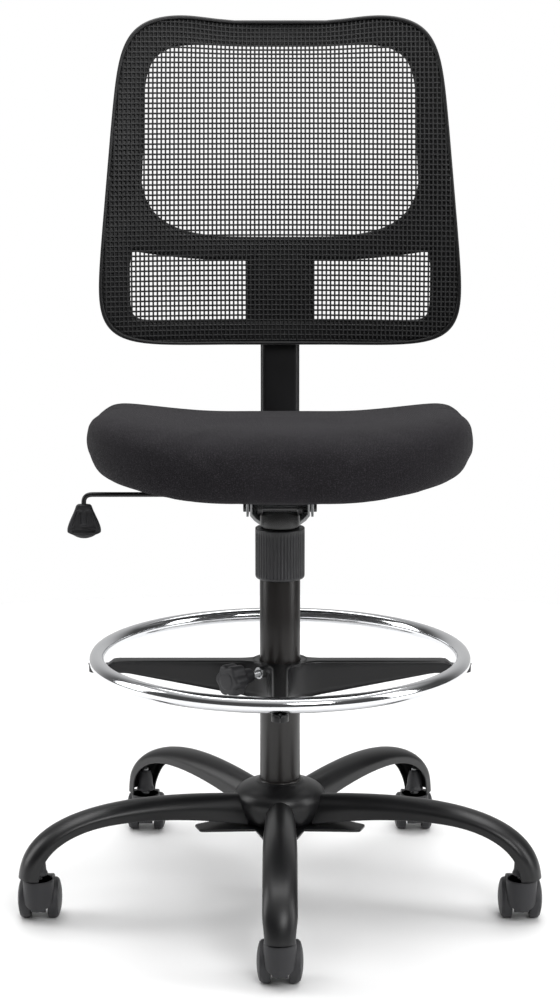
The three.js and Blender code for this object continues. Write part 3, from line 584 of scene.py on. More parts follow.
# ---- Column ----
# A 50 mm steel tube in dark gloss enamel, welded into the hub; a ribbed plastic collar closes its
# top, and the black gas cylinder and the tapered socket of the seat mechanism rise out of it.
column_enamel = coated("dark_column_enamel", (0.0075, 0.0062, 0.0056), (0.017, 0.014, 0.013), rough=0.33,
                       spread=0.06, patch=7, grain=1500, depth=0.000006)
low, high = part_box("column_tube")
tube = filleted([[0.0060, low.z], [0.0250, low.z], [0.0250, high.z], [0.0225, high.z],
                 [0.0225, low.z + 0.004], [0.0060, low.z + 0.004]], 0.0006, 3, closed=True)
weld_bead = filleted([[0.0252, hub_top - 0.001], [0.0278, hub_top - 0.001], [0.0276, hub_top + 0.0012],
                      [0.0252, hub_top + 0.0024]], 0.0012, 5, closed=True)
piece("column_outer_tube", [ring_grid(tube), ring_grid(weld_bead)], "base", ["column_tube"], column_enamel)

collar_plastic = coated("collar_dark_grey_plastic", (0.020, 0.020, 0.022), (0.046, 0.046, 0.050),
                        rough=0.42, spread=0.15, patch=30, grain=2200, depth=0.00008, edge=0.4)
low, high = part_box("ribbed_collar")
collar_top = high.z
COLLAR, RIBS, FILLET_STEPS = 0.0305, 46, 9


def collar_grid():
    """The collar turned round Z: its outer radius steps in by 0.8 mm between ribs, whose flanks are
    a raised cosine of the angle; the ribs fade out under the plain rim and round the bottom edge."""
    profile = filleted([
        [0.0253, low.z], [COLLAR, low.z], [COLLAR, high.z], [0.0155, high.z],
        [0.0155, high.z - 0.0020], [0.0253, high.z - 0.0020],
    ], [0, 0.0045, 0.0012, 0, 0, 0], FILLET_STEPS, closed=True)
    body = np.linspace(low.z + 0.0046, high.z - 0.0014, 24)
    side = np.stack([COLLAR + 0 * body, body], -1)
    after_foot = 1 + FILLET_STEPS
    profile = np.concatenate([profile[:after_foot], side, profile[after_foot:]])
    a = whole_turn(RIBS * 10)
    rib = 0.5 - 0.5 * np.clip(1.8 * np.cos(a * RIBS), -1, 1)
    r, z = profile[:, 0, None], profile[:, 1, None]
    outer = smoothstep(r, 0.0285, 0.0302)
    fade = smoothstep(z, low.z + 0.002, low.z + 0.006) * (1 - smoothstep(z, high.z - 0.0045, high.z - 0.0035))
    return polar(r - 0.0008 * rib * fade * outer, a, z)


piece("column_ribbed_collar", [(collar_grid(), True, True, False)], "base", ["ribbed_collar"], collar_plastic,
      sharp=60)

gloss_black = coated("gloss_black_enamel", (0.004, 0.004, 0.004), (0.010, 0.010, 0.010), rough=0.20,
                     spread=0.06, patch=25, grain=900, depth=0.000004, coat=0.2)
low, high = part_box("gas_cylinder")
cylinder = [[0.0056, low.z], [0.0140, low.z], [0.0140, high.z], [0.0033, high.z],
            [0.0033, high.z - 0.012], [0.0115, high.z - 0.016], [0.0115, low.z + 0.004],
            [0.0056, low.z + 0.004]]
turned_piece("gas_spring_cylinder", "lift", "gas_cylinder", gloss_black, cylinder, 0.001, closed=True,
             segments=64)
low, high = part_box("release_button")
button = [[0, low.z], [0.0030, low.z], [0.0030, high.z], [0, high.z]]
turned_piece("gas_spring_button", "release_button", "release_button", zinc, button, 0.0008, segments=32)
low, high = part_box("column_socket")
socket_foot = collar_top + 0.0008
socket = [[0.0145, socket_foot], [0.0245, socket_foot], [0.0245, high.z], [0.0145, high.z]]
turned_piece("mechanism_socket", "swivel", "column_socket", gloss_black, socket, 0.0008, closed=True)
chrome = coated("chrome_plate", (0.74, 0.75, 0.77), (0.84, 0.84, 0.85), rough=0.11, spread=0.03,
                patch=8, grain=60, depth=0.000004, metal=1.0, edge=0.0)


def dressed(node, material):
    """Gives a CAD node that stays its material."""
    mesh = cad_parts[node].data
    mesh.materials.clear()
    mesh.materials.append(material)


dressed("piston_rod", chrome)
dressed("column_bush", moulded_grey)


# ---- Footring ----
# A chromed tube ring on a pressed steel cross: four channel arms that flare into the hub, a sleeve
# that slides on the column, and a lobed plastic knob on a zinc-plated stud that clamps it.
ring_low, ring_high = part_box("footring_ring")
RING_TUBE = (ring_high.z - ring_low.z) / 2
RING_HEIGHT = (ring_high.z + ring_low.z) / 2
RING_RADIUS = 0.2270


def torus(radius, tube, height, around=160, across=32):
    """Circle of radius tube carried round the Z axis at that radius and height."""
    a, b = whole_turn(around)[:, None], whole_turn(across)
    return polar(radius + tube * np.cos(b), a, height + tube * np.sin(b))


piece("footring_chromed_tube", [(torus(RING_RADIUS, RING_TUBE, RING_HEIGHT), True, True, False)], "footring",
      ["footring_ring"], chrome)

spider_low, spider_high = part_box("footring_spider")
ARM_HALF, FLARE, FLARE_STEPS, SHEET = 0.010, 0.042, 14, 0.0022
ARM_END = 0.2375
SPIDER_TOP = spider_high.z
SADDLE = RING_HEIGHT - RING_TUBE - 0.0004


def arm_edge(n_arm=26, n_tip=9):
    """Half outline (x, y) of an arm from the diagonal to its tip: a quarter of the concave fillet
    between two arms, the straight side, and a round tip."""
    centre = ARM_HALF + FLARE
    a = np.linspace(math.pi / 4, math.pi / 2, FLARE_STEPS)
    fillet = np.stack([centre - FLARE * np.cos(a), centre - FLARE * np.sin(a)], -1)
    straight_x = np.linspace(centre, ARM_END - ARM_HALF, n_arm)[1:]
    straight = np.stack([straight_x, ARM_HALF + 0 * straight_x], -1)
    b = np.linspace(math.pi / 2, 0.03, n_tip)[1:]
    tip = np.stack([ARM_END - ARM_HALF + ARM_HALF * np.cos(b), ARM_HALF * np.sin(b)], -1)
    return np.concatenate([fillet, straight, tip])


def arm_top(x):
    """Height of the top: level from the hub, then eased down to the saddle under the ring."""
    return SPIDER_TOP - (SPIDER_TOP - SADDLE) * smoothstep(x, 0.204, 0.2165)


def arm_foot(x):
    """Height of the skirt's lower edge: a straight rise of one in five from the hub, then level
    8.5 mm under the saddle."""
    return np.minimum(spider_low.z + 0.003 + 0.196 * np.maximum(x - 0.034, 0), SADDLE - 0.0085)


def arm_grid():
    """One pressed arm. Each station joins the two mirrored edge points: across the top by a line
    that bows outward near the hub by one minus the square of the way across, then by a quarter
    round at the edge and straight down the skirt."""
    edge = arm_edge()
    way = np.gradient(edge, axis=0)
    out = np.stack([-way[:, 1], way[:, 0]], -1)
    out /= np.linalg.norm(out, axis=1, keepdims=True)
    middle = edge[:, 0].copy()
    middle[:FLARE_STEPS] = np.linspace(0.0330, ARM_HALF + FLARE, FLARE_STEPS)
    across = np.linspace(-1, 1, 9)
    top = arm_top(edge[:, 0])
    round_, drop = 0.0028, np.linspace(0, 1, 6)[1:]
    bend = np.linspace(0, math.pi / 2, 5)[1:]
    sides = {}
    for side in (-1, 1):
        base = edge * [1, side]
        away = out * [1, side]
        points = []
        for a in bend:
            inset = base - away * round_ * (1 - math.sin(a))
            points.append(np.stack([inset[:, 0], inset[:, 1], top - round_ * (1 - math.cos(a))], -1))
        for d in drop:
            start = top - round_
            points.append(np.stack([base[:, 0], base[:, 1], start + (arm_foot(base[:, 0]) - start) * d], -1))
        sides[side] = np.stack(points, 1)
    inset = (edge - out * round_)[:, None]
    x = inset[..., 0] * across ** 2 + middle[:, None] * (1 - across ** 2)
    rows = np.stack([x, inset[..., 1] * across, top[:, None] + 0 * x], -1)
    return np.concatenate([sides[-1][:, ::-1], rows, sides[1]], 1)


def spider_pressing():
    """Four arms a quarter turn apart, each a thin sheet, thickened inward afterwards."""
    arm = arm_grid()
    return [(rotated(arm, k * math.pi / 2), False, False, False) for k in range(4)]


pressing = piece("footring_pressed_cross", spider_pressing(), "footring", ["footring_spider"],
                 satin_black, sharp=50)
thicken = pressing.modifiers.new("sheet_thickness", "SOLIDIFY")
thicken.thickness, thicken.offset = SHEET, -1
SLEEVE_BORE = 0.0256
sleeve = filleted([[SLEEVE_BORE, spider_low.z], [0.0290, spider_low.z], [0.0290, SPIDER_TOP - 0.0004],
                   [0.0340, SPIDER_TOP - 0.0004], [0.0340, SPIDER_TOP], [SLEEVE_BORE, SPIDER_TOP]],
                  0.0006, 3, closed=True)
disc_low, disc_high = SPIDER_TOP - 0.003, SPIDER_TOP - 0.0001
hub_disc = filleted([[SLEEVE_BORE, disc_low], [0.0350, disc_low], [0.0350, disc_high],
                     [SLEEVE_BORE, disc_high]], 0.0004, 3, closed=True)
piece("footring_sleeve", [ring_grid(sleeve), ring_grid(hub_disc)], "footring", [], satin_black)

KNOB_HEIGHT = 0.2956
KNOB_WAY = np.array([-math.sqrt(0.5), -math.sqrt(0.5), 0])


def along_knob(points):
    """Takes a grid made along Z to the knob's axis: Z becomes the way out, X the level side."""
    level = np.array([-KNOB_WAY[1], KNOB_WAY[0], 0])
    return (points[..., 0:1] * level + points[..., 1:2] * np.array([0, 0, 1])
            + points[..., 2:3] * KNOB_WAY + [0, 0, KNOB_HEIGHT])


def knob_grid():
    """Six-lobed grip with a neck behind it and a raised cap in front. The profile is turned; far from
    the axis its radius gains 1.1 mm times the cosine of six times the angle, and loses 1 mm times a
    bell curve of the angle midway between two lobes."""
    start, thick = 0.070, 0.024
    profile = filleted([
        [0, start - 0.019], [0.0088, start - 0.019], [0.0104, start - 0.003], [0.0150, start + 0.0004],
        [0.0190, start + 0.003], [0.0195, start + thick - 0.004], [0.0165, start + thick - 0.0012],
        [0.0108, start + thick - 0.0012], [0.0104, start + thick - 0.0002], [0.0060, start + thick],
        [0, start + thick],
    ], 0.0022, 6)
    a = whole_turn(144)
    r, h = profile[:, 0, None], profile[:, 1, None]
    lobes = 0.0011 * np.cos(6 * a) - 0.0010 * np.exp(-((((a * 6 / math.tau) % 1) - 0.5) / 0.16) ** 2)
    return polar(r + lobes * smoothstep(r, 0.0125, 0.0175), a, h)


piece("footring_lobed_knob", [(along_knob(knob_grid()), False, True, True)], "knob", ["footring_knob"],
      moulded_grey)


def stud_grid():
    """Threaded stud: its radius is 4 mm less a triangle wave of the turns h / pitch - angle / whole
    turn, fading to plain at the inner tip; both end rows are drawn in to 0.7 of the radius."""
    inner_tip, outer_tip, pitch = 0.0253, 0.0870, 0.00125
    h = np.linspace(inner_tip, outer_tip, 330)[:, None]
    a = whole_turn(24)
    phase = (h / pitch - a / math.tau) % 1
    r = 0.0040 - 0.00055 * np.abs(2 * phase - 1) * smoothstep(h, 0.0262, 0.0280)
    r[[0, -1]] *= 0.7
    return polar(r, a, h)


piece("footring_threaded_stud", [(along_knob(stud_grid()), False, True, True)], "knob",
      ["footring_stud"], zinc)
boss = filleted([[0.0043, 0.0282], [0.0078, 0.0282], [0.0074, 0.0378], [0.0043, 0.0378]], 0.0008, 4,
                closed=True)
piece("footring_stud_boss", [(along_knob(turned(boss, segments=40)), True, True, False)], "footring",
      [], zinc)


# ---- Swivel-tilt mechanism ----
# A pressed, zinc-plated housing on the socket, a shaft across it with two black torsion springs,
# and the height lever, a bent rod with a moulded paddle.
def refined(name, node, body, material, bevel=0.0008, segments=2):
    """A copy of a CAD node with its doubles merged, flat faces joined and its edges rounded."""
    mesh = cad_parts[node].data.copy()
    mesh.name = name
    mesh.materials.clear()
    mesh.materials.append(material)
    work = bmesh.new()
    work.from_mesh(mesh)
    bmesh.ops.remove_doubles(work, verts=work.verts, dist=2e-6)
    bmesh.ops.dissolve_limit(work, angle_limit=math.radians(0.6), verts=work.verts, edges=work.edges)
    work.to_mesh(mesh)
    work.free()
    made = bpy.data.objects.new(name, mesh)
    bpy.context.scene.collection.objects.link(made)
    rounding = made.modifiers.new("rounded_edges", "BEVEL")
    rounding.width, rounding.segments, rounding.limit_method = bevel, segments, "ANGLE"
    rounding.angle_limit = math.radians(28)
    mesh.shade_smooth()
    mesh.set_sharp_from_angle(angle=math.radians(35))
    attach(made, body)
    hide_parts(node)
    return made


refined("mechanism_pressed_housing", "mechanism_housing", "swivel", zinc, bevel=0.0009)
spring_black = coated("black_spring_steel", (0.012, 0.012, 0.013), (0.06, 0.06, 0.062), rough=0.28,
                      spread=0.1, patch=60, grain=900, depth=0.00002, metal=0.4, coat=0.4)
low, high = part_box("tilt_shaft")
TILT_Y, TILT_Z = (low.y + high.y) / 2, (low.z + high.z) / 2
shaft = [[0, low.x], [0.0050, low.x], [0.0050, high.x], [0, high.x]]
turned_piece("mechanism_tilt_shaft", "swivel", "tilt_shaft", spring_black, shaft, 0.0010, axis="x",
             centre=(0, TILT_Y, TILT_Z), segments=40)


def coil_grid(start, end, side, radius=0.0067, wire=0.0017, turns=2.75):
    """A wire circle carried along a helix round the tilt shaft: its turns lie side by side along X."""
    t = np.linspace(0, 1, int(turns * 28))
    a = t * turns * math.tau
    x = side * (start + wire + (end - start - 2 * wire) * t)
    b = whole_turn(10)
    out = np.stack([0 * a, np.cos(a), np.sin(a)], -1)
    line = np.stack([x, radius * np.cos(a), radius * np.sin(a)], -1)
    ring = wire * (np.cos(b)[None, :, None] * out[:, None] + np.sin(b)[None, :, None] * np.array([1.0, 0, 0]))
    return line[:, None] + ring + [0, TILT_Y, TILT_Z]


for side, word in ((-1, "left"), (1, "right")):
    coil = coil_grid(0.0196, 0.0289, side)
    piece(f"mechanism_torsion_spring_{word}", [(coil, False, True, True)], "swivel", [f"tilt_spring_{word}"],
          spring_black)


def swept(path, section, across):
    """Grid of a section [across, up] carried along a flat path; across is the unit vector square to
    the path's plane, and up is that vector crossed with the path's way."""
    path = np.asarray(path, float)
    way = np.gradient(path, axis=0)
    way /= np.linalg.norm(way, axis=1, keepdims=True)
    across = np.broadcast_to(np.asarray(across, float), way.shape)
    up = np.cross(across, way)
    return path[:, None] + section[None, :, 0:1] * across[:, None] + section[None, :, 1:2] * up[:, None]


def circle(radius, steps=24):
    """Closed circle [across, up]."""
    return polar(radius, whole_turn(steps), 0)[:, :2]


low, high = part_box("lever_rod")
ROD = 0.003
LEVER_Z, LEVER_END = high.z - ROD, low.x + ROD
lever_path = filleted([[high.x, 0, LEVER_Z], [-0.06, 0, LEVER_Z], [LEVER_END, 0, LEVER_Z],
                       [LEVER_END, 0, low.z]], [0, 0.001, 0.011, 0], 10)
piece("height_lever_rod", [(swept(lever_path, circle(ROD), (0, 1, 0)), False, True, True)], "lever",
      ["lever_rod"], satin_black)


def paddle_grid():
    """Rows of closed loops at shares t of the way down. A loop is a squared oval whose half-width
    opens from 8 mm at the neck to 20.5 mm and rounds off at the foot, and whose thickness falls as
    a square root at both ends. Its faces sink to 0.38 of the thickness inside a raised rim, but for
    a round spine in the hollow's upper part and a half-high ledge under it. The foot's middle hangs
    lowest, by the square of the way across."""
    low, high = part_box("lever_paddle")
    t = np.concatenate([[0, 0.006, 0.02, 0.04], np.linspace(0.06, 0.94, 50), [0.96, 0.975, 0.99, 1.0]])
    t = t[:, None]
    half = 0.0080 + 0.0127 * smoothstep(t, -0.25, 0.80) ** 1.25 - 0.0075 * smoothstep(t, 0.84, 1.0) ** 2
    half = half * (0.72 + 0.28 * np.sqrt(np.clip(t / 0.05, 0, 1)))
    thick = (0.0046 + 0.0012 * smoothstep(t, 0, 0.6)) * np.sqrt(np.clip((1.02 - t) / 0.12, 0, 1))
    thick = thick * (0.6 + 0.4 * np.sqrt(np.clip(t / 0.04, 0, 1)))
    a = whole_turn(120)
    u = np.sign(np.cos(a)) * np.abs(np.cos(a)) ** 0.75
    v = np.sign(np.sin(a)) * np.abs(np.sin(a)) ** 0.55
    across = u * half
    hollow = smoothstep(t, 0.14, 0.24) * (1 - smoothstep(t, 0.80, 0.88))
    hollow = hollow * (1 - smoothstep(np.abs(u), 0.62, 0.80))
    spine = np.exp(-((across / 0.0034) ** 4)) * (1 - smoothstep(t, 0.56, 0.66))
    ledge = 0.5 * np.exp(-(((t - 0.74) / 0.035) ** 2))
    y = v * thick * (1 - 0.62 * hollow * (1 - np.maximum(spine, ledge)))
    z = high.z - (high.z - low.z) * t * (1 - 0.085 * u ** 2 * smoothstep(t, 0.55, 1.0))
    return np.stack([LEVER_END + across, y, z], -1)


piece("height_lever_paddle", [(paddle_grid(), False, True, True)], "lever", ["lever_paddle"], moulded_grey)


# ---- Seat: plate and pan ----
# The pressed, zinc-plated plate that the back's upright and the seat are screwed to, and the
# moulded pan that carries the foam.
PITCH, SEAT_ZERO = 0.0803, 0.523


def from_seat(points):
    """Takes points from the seat's own level frame to the room: pitched about X, front edge up."""
    c, s = math.cos(PITCH), math.sin(PITCH)
    x, y, z = points[..., 0], points[..., 1], points[..., 2]
    return np.stack([x, y * c + z * s, SEAT_ZERO - y * s + z * c], -1)


refined("seat_pressed_plate", "seat_plate", "seat", zinc, bevel=0.0007)
pan_plastic = coated("seat_pan_black_plastic", (0.012, 0.012, 0.012), (0.028, 0.028, 0.028), rough=0.55,
                     spread=0.15, patch=14, grain=1500, depth=0.00006)
refined("seat_moulded_pan", "seat_pan", "seat", pan_plastic, bevel=0.0015, segments=3)


def screw_grids(centres, top):
    """Round-headed screws that point up under the plate: a low dome with a round recess."""
    head = filleted([[0, top - 0.0036], [0.0018, top - 0.0036], [0.0020, top - 0.0048],
                     [0.0052, top - 0.0042], [0.0060, top - 0.0015], [0.0060, top], [0, top]], 0.0008, 3)
    shape = turned(head, segments=24)
    return [(from_seat(shape + [x, y, 0]), False, True, True) for x, y in centres]


screw_places = [(x, y) for x in (-0.034, 0.034) for y in (0.075, 0.135, -0.083)]
piece("seat_plate_screws", screw_grids(screw_places, 0.0067), "seat", [], zinc)


# ---- Seat: upholstered cushion ----
# Moulded foam under a charcoal woven cover pulled over the pan: rounded square outline, raised
# sides, and a front edge that rolls over.
def make_weave_group():
    """Two crossed yarn waves on object coordinates, with flecks.

    Yarn is the larger of two sine waves 1.7 mm long times Yarn Size, one of X and one of Y + Z,
    each shifted by a noise. Fleck is five times what a fine noise is over one half, times Fleck
    Amount. Fuzz is a finer noise, and Height is 0.6 of the yarn plus half of Fuzz."""
    tree, inside, outside = new_group(
        "cover_weave",
        {"Yarn Size": (FLOAT, 1.0), "Fleck Amount": (FLOAT, 1.0)},
        {"Fleck": FLOAT, "Height": FLOAT, "Fuzz": FLOAT},
    )
    at = tree.nodes.new("ShaderNodeTexCoord").outputs["Object"]
    split = tree.nodes.new("ShaderNodeSeparateXYZ")
    tree.links.new(at, split.inputs[0])
    wobble = noise(tree, at, 260.0, 2)
    pitch = math_node(tree, "MULTIPLY", inside.outputs["Yarn Size"], math.tau / 0.0017)
    along = math_node(tree, "ADD", split.outputs["Y"], split.outputs["Z"])
    bands = []
    for axis in (split.outputs["X"], along):
        phase = math_node(tree, "MULTIPLY_ADD", axis, pitch, math_node(tree, "MULTIPLY", wobble, 5.0))
        bands.append(math_node(tree, "MULTIPLY_ADD", math_node(tree, "SINE", phase), 0.5, 0.5))
    yarn = math_node(tree, "MAXIMUM", *bands)
    over = math_node(tree, "SUBTRACT", noise(tree, at, 780.0, 3, 0.7), 0.50)
    fleck = math_node(tree, "MULTIPLY", over, 5.0, clamp=True)
    fleck = math_node(tree, "MULTIPLY", fleck, inside.outputs["Fleck Amount"])
    fuzz = noise(tree, at, 2600.0, 2)
    half_fuzz = math_node(tree, "MULTIPLY", fuzz, 0.5)
    height = math_node(tree, "ADD", math_node(tree, "MULTIPLY", yarn, 0.6), half_fuzz)
    tree.links.new(fleck, outside.inputs["Fleck"])
    tree.links.new(height, outside.inputs["Height"])
    tree.links.new(fuzz, outside.inputs["Fuzz"])
    return tree


weave = make_weave_group()


def make_cover_fabric():
    """Charcoal cover: dark ground, greyer flecks and soft patches, matte with a faint sheen."""
    made, tree, bsdf = shader("charcoal_woven_cover")
    group = tree.nodes.new("ShaderNodeGroup")
    group.node_tree = weave
    at = tree.nodes.new("ShaderNodeTexCoord").outputs["Object"]
    patch = noise(tree, at, 16.0, 4)
    ground = mixed(tree, patch, (0.0095, 0.0088, 0.0102), (0.0160, 0.0148, 0.0172))
    colour = mixed(tree, group.outputs["Fleck"], ground, (0.036, 0.033, 0.038))
    tree.links.new(colour, bsdf.inputs["Base Color"])
    rough = math_node(tree, "MULTIPLY_ADD", group.outputs["Fuzz"], 0.15, 0.82)
    tree.links.new(rough, bsdf.inputs["Roughness"])
    bumped(tree, bsdf, group.outputs["Height"], 0.00045, 0.9)
    bsdf.inputs["Sheen Weight"].default_value = 0.03
    bsdf.inputs["Sheen Roughness"].default_value = 0.5
    bsdf.inputs["Specular IOR Level"].default_value = 0.12
    return made


cover_fabric = make_cover_fabric()
HALF_WIDTH, HALF_DEPTH, SEAT_MIDDLE, SQUARENESS = 0.2345, 0.2255, -0.008, 3.5


def superellipse(steps, power, start=0.0):
    """Unit superellipse |u|^power + |v|^power = 1: u and v are the cosine and the sine of evenly
    spaced angles, each raised to 2 / power with its sign kept."""
    a = start + whole_turn(steps)
    c, s = np.cos(a), np.sin(a)
    return np.sign(c) * np.abs(c) ** (2 / power), np.sign(s) * np.abs(s) ** (2 / power)


def cushion_grid():
    """Loops from the middle of the underside, out round the side and in over the top. Each loop is
    the seat's superellipse times a share, at a height that follows a rounded profile. The dish
    lifts the sides by 31 mm times the square of the way beyond the middle's level 120 mm, and the
    underside's rear edge eases up by 8 mm."""
    profile = filleted([
        [0.0, 0.024], [0.860, 0.024], [0.880, 0.002], [0.955, 0.001], [1.0, 0.030], [0.985, 0.064],
        [0.840, 0.0810], [0.0, 0.0850],
    ], [0, 0.02, 0.02, 0.05, 0.04, 0.10, 0.30, 0], 9)
    share, height = profile[:, 0, None], profile[:, 1, None]
    u, v = superellipse(120, SQUARENESS)
    x, y = HALF_WIDTH * share * u, SEAT_MIDDLE + HALF_DEPTH * share * v
    level, sloped, dish = 0.060, 0.1765, 0.031
    over = np.maximum(0, np.abs(x) - level) / sloped
    rear = smoothstep(y, 0.04, 0.20) * 0.008 * (height < 0.02)
    return np.stack([x, y, height + dish * over ** 2 + rear], -1)


def vertex_places(mesh):
    """A mesh's vertices as one array."""
    places = np.empty(3 * len(mesh.vertices), np.float32)
    mesh.vertices.foreach_get("co", places)
    return places.reshape(-1, 3).astype(float)


def puffed(made, voxel, cap, pressure=4.0):
    """Remeshes a closed piece evenly, blows it up as cloth under pressure without gravity for 20
    frames, and keeps each point within cap of where it started."""
    scene = bpy.context.scene
    remesh = made.modifiers.new("even", "REMESH")
    remesh.mode, remesh.voxel_size = "VOXEL", voxel
    smooth = made.modifiers.new("relax", "SMOOTH")
    smooth.factor, smooth.iterations = 0.5, 1
    even = bpy.data.meshes.new_from_object(made.evaluated_get(bpy.context.evaluated_depsgraph_get()))
    made.modifiers.clear()
    made.data = even
    start = vertex_places(even)
    cloth = made.modifiers.new("cloth", "CLOTH")
    cloth.settings.use_pressure, cloth.settings.uniform_pressure_force = True, pressure
    cloth.settings.effector_weights.gravity = 0
    cloth.settings.tension_stiffness = cloth.settings.compression_stiffness = 25
    cloth.settings.bending_stiffness = 6
    for step in range(1, 21):
        scene.frame_set(step)
    after = bpy.data.meshes.new_from_object(made.evaluated_get(bpy.context.evaluated_depsgraph_get()))
    moved = vertex_places(after) - start
    far = np.linalg.norm(moved, axis=1, keepdims=True)
    kept = start + moved * np.minimum(1, cap / np.maximum(far, 1e-9))
    made.modifiers.clear()
    scene.frame_set(1)
    even.vertices.foreach_set("co", kept.ravel())
    even.update()
    return made


cushion_shape = from_seat(cushion_grid())
cushion = mesh_piece("seat_upholstered_cushion", cushion_shape.reshape(-1, 3),
                     grid(cushion_shape, False, True, True), sharp=180)
puffed(cushion, voxel=0.005, cap=0.0035)
cushion.data.materials.clear()
cushion.data.materials.append(cover_fabric)
cushion.data.shade_smooth()
fine = cushion.modifiers.new("fine", "SUBSURF")
fine.levels = fine.render_levels = 1
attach(cushion, "seat")
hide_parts("seat_cushion")


# ---- Back upright ----
# A flat oval steel tube coated satin black, screwed under the seat plate and bent up behind the
# back frame, which is fixed to its upper end.
def oval(width, depth, steps=20):
    """Closed flat oval [across, up]: two half circles joined by straight sides."""
    a = np.linspace(-math.pi / 2, math.pi / 2, steps)
    r, flat = depth / 2, width / 2 - depth / 2
    right = np.stack([flat + r * np.cos(a), r * np.sin(a)], -1)
    return np.concatenate([right, -right])


UNDER, POST_Y, POST_WIDE, POST_DEEP = -0.0016, 0.273, 0.0515, 0.016
post_start = from_seat(np.array([0.0, 0.070, UNDER]))
post_corner = from_seat(np.array([0.0, POST_Y, UNDER]))
post_end = np.array([0.0, POST_Y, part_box("back_upright")[1].z])
post_path = filleted([post_start, post_corner, post_end], [0, 0.046, 0], 18)
post_tube = swept(post_path, oval(POST_WIDE, POST_DEEP), (1, 0, 0))
piece("back_oval_upright", [(post_tube, False, True, True)], "seat", ["back_upright"], satin_black,
      sharp=50)


# ---- Back: frame ----
# One black moulding with three windows, curved to the back: a wide rim, a belt across it and a
# short spine over the upright, with a raised lip that hides the cut edge of the mesh.
frame_plastic = coated("back_frame_black_plastic", (0.0045, 0.0045, 0.0050), (0.011, 0.011, 0.012),
                       rough=0.45, spread=0.12, patch=10, grain=1300, depth=0.00004, edge=0.4,
                       specular=0.35)
BACK_LOW, BACK_HIGH, WAIST, SQUARED = 0.670, 1.0965, 0.700, 7
WINDOW_MIDDLE, SPINE_HALF = 0.8805, 0.044
BACK_MIDDLE, BACK_HALF = (BACK_LOW + BACK_HIGH) / 2, (BACK_HIGH - BACK_LOW) / 2


def back_half_width(z):
    """Half-width of the back, narrowing in a straight line to the top."""
    return 0.2428 - 0.0366 * (z - BACK_LOW) / (BACK_HIGH - BACK_LOW)


def back_front(x, z):
    """Y of the back's front face: upright at the waist, reclined above it by a square law, and its
    sides wrapped forward by a square law."""
    above = np.maximum(0, z - WAIST) / (BACK_HIGH - WAIST)
    return 0.240 + 0.078 * above ** 2 - 0.030 * (x / back_half_width(z)) ** 2


def dipped(x, z):
    """Height after the shallow flat-bottomed dip in the middle of the top edge: 9.5 mm less times a
    bell curve of the fourth power of x, fading out below 1.02 m."""
    return z - 0.0095 * smoothstep(z, 1.020, BACK_HIGH) * np.exp(-((x / 0.105) ** 4))


def back_outline(steps, inset=0.0):
    """Outline (x, z) of the back, drawn in by inset: a superellipse with the narrowing width."""
    u, v = superellipse(steps, SQUARED, math.tau / steps / 2)
    z = BACK_MIDDLE + (BACK_HALF - inset) * v
    x = u * (back_half_width(z) - inset)
    return x, dipped(x, z)


def rail(outer, inner, front, thick, corner=5.0, steps=20):
    """Closed rounded section carried between two edge lines: a superellipse that spans from the
    inner to the outer line, and from front behind the back's front face to thick behind that."""
    c, s = superellipse(steps, corner)
    share = 0.5 + 0.5 * c
    x = inner[0][:, None] + (outer[0] - inner[0])[:, None] * share
    z = inner[1][:, None] + (outer[1] - inner[1])[:, None] * share
    y = back_front(x, z) + front + thick * (0.5 + 0.5 * s)
    return np.stack([x, y, z], -1)


def rim_inner(steps):
    """Inner edge of the rim, met by the ray from the windows' middle to each outline point: half-
    width 177 mm and large corners round the upper window, 195 mm and small corners round the lower
    two. Radius = (|c / width|^p + |s / height|^p)^(-1/p). Towards the middle the lower half narrows
    to the upper one's width, and the top follows 0.4 of the dip 40 mm above it."""
    height, rim_deep = 0.1775, 0.04
    x, z = back_outline(steps)
    away = np.hypot(x, z - WINDOW_MIDDLE)
    c, s = x / away, (z - WINDOW_MIDDLE) / away
    power = np.where(s > 0, 7.0, 22.0)
    width = np.where(s > 0, 0.177, 0.195)
    radius = (np.abs(c / width) ** power + np.abs(s / height) ** power) ** (-1 / power)
    x, z = radius * c, WINDOW_MIDDLE + radius * s
    x = x * np.where(s > 0, 1, 1 - 0.092 * smoothstep(z, 0.770, 0.860))
    return x, z - 0.4 * (z + rim_deep - dipped(x, z + rim_deep)) * (s > 0)


def belt_edges(steps=90):
    """Upper edge: the low half of a squared oval 181.5 mm to a side and 124 mm deep. Lower edge:
    level near the spine and rising outward by 14.5 mm times a square law."""
    a = np.linspace(math.pi, math.tau, steps)
    c, s = np.cos(a), np.sin(a)
    power = 2 / 3.7
    upper = 0.1815 * np.sign(c) * np.abs(c) ** power, 0.934 - 0.124 * np.abs(s) ** power
    x = 0.199 * np.sign(c) * np.abs(c) ** 0.8
    lower = x, 0.779 + 0.0145 * np.clip((np.abs(x) - SPINE_HALF) / 0.151, 0, 1.1) ** 2
    return lower, upper


STEPS = 240
rim_rail = rail(back_outline(STEPS), rim_inner(STEPS), 0.0045, 0.012)
belt_low, belt_up = belt_edges()
belt_rail = rail(belt_up, belt_low, 0.0047, 0.0116)
spine_z = np.linspace(0.694, 0.790, 14)
spine_x = SPINE_HALF + 0 * spine_z
spine_rail = rail((spine_x, spine_z), (-spine_x, spine_z), 0.0046, 0.0118)
lip_rail = rail(back_outline(STEPS), back_outline(STEPS, 0.0048), -0.0004, 0.0075, corner=3.0, steps=14)
piece("back_moulded_frame", [(rim_rail, True, True, False), (belt_rail, False, True, True),
                             (spine_rail, False, True, True), (lip_rail, True, True, False)],
      "seat", ["back_frame"], frame_plastic, sharp=60)


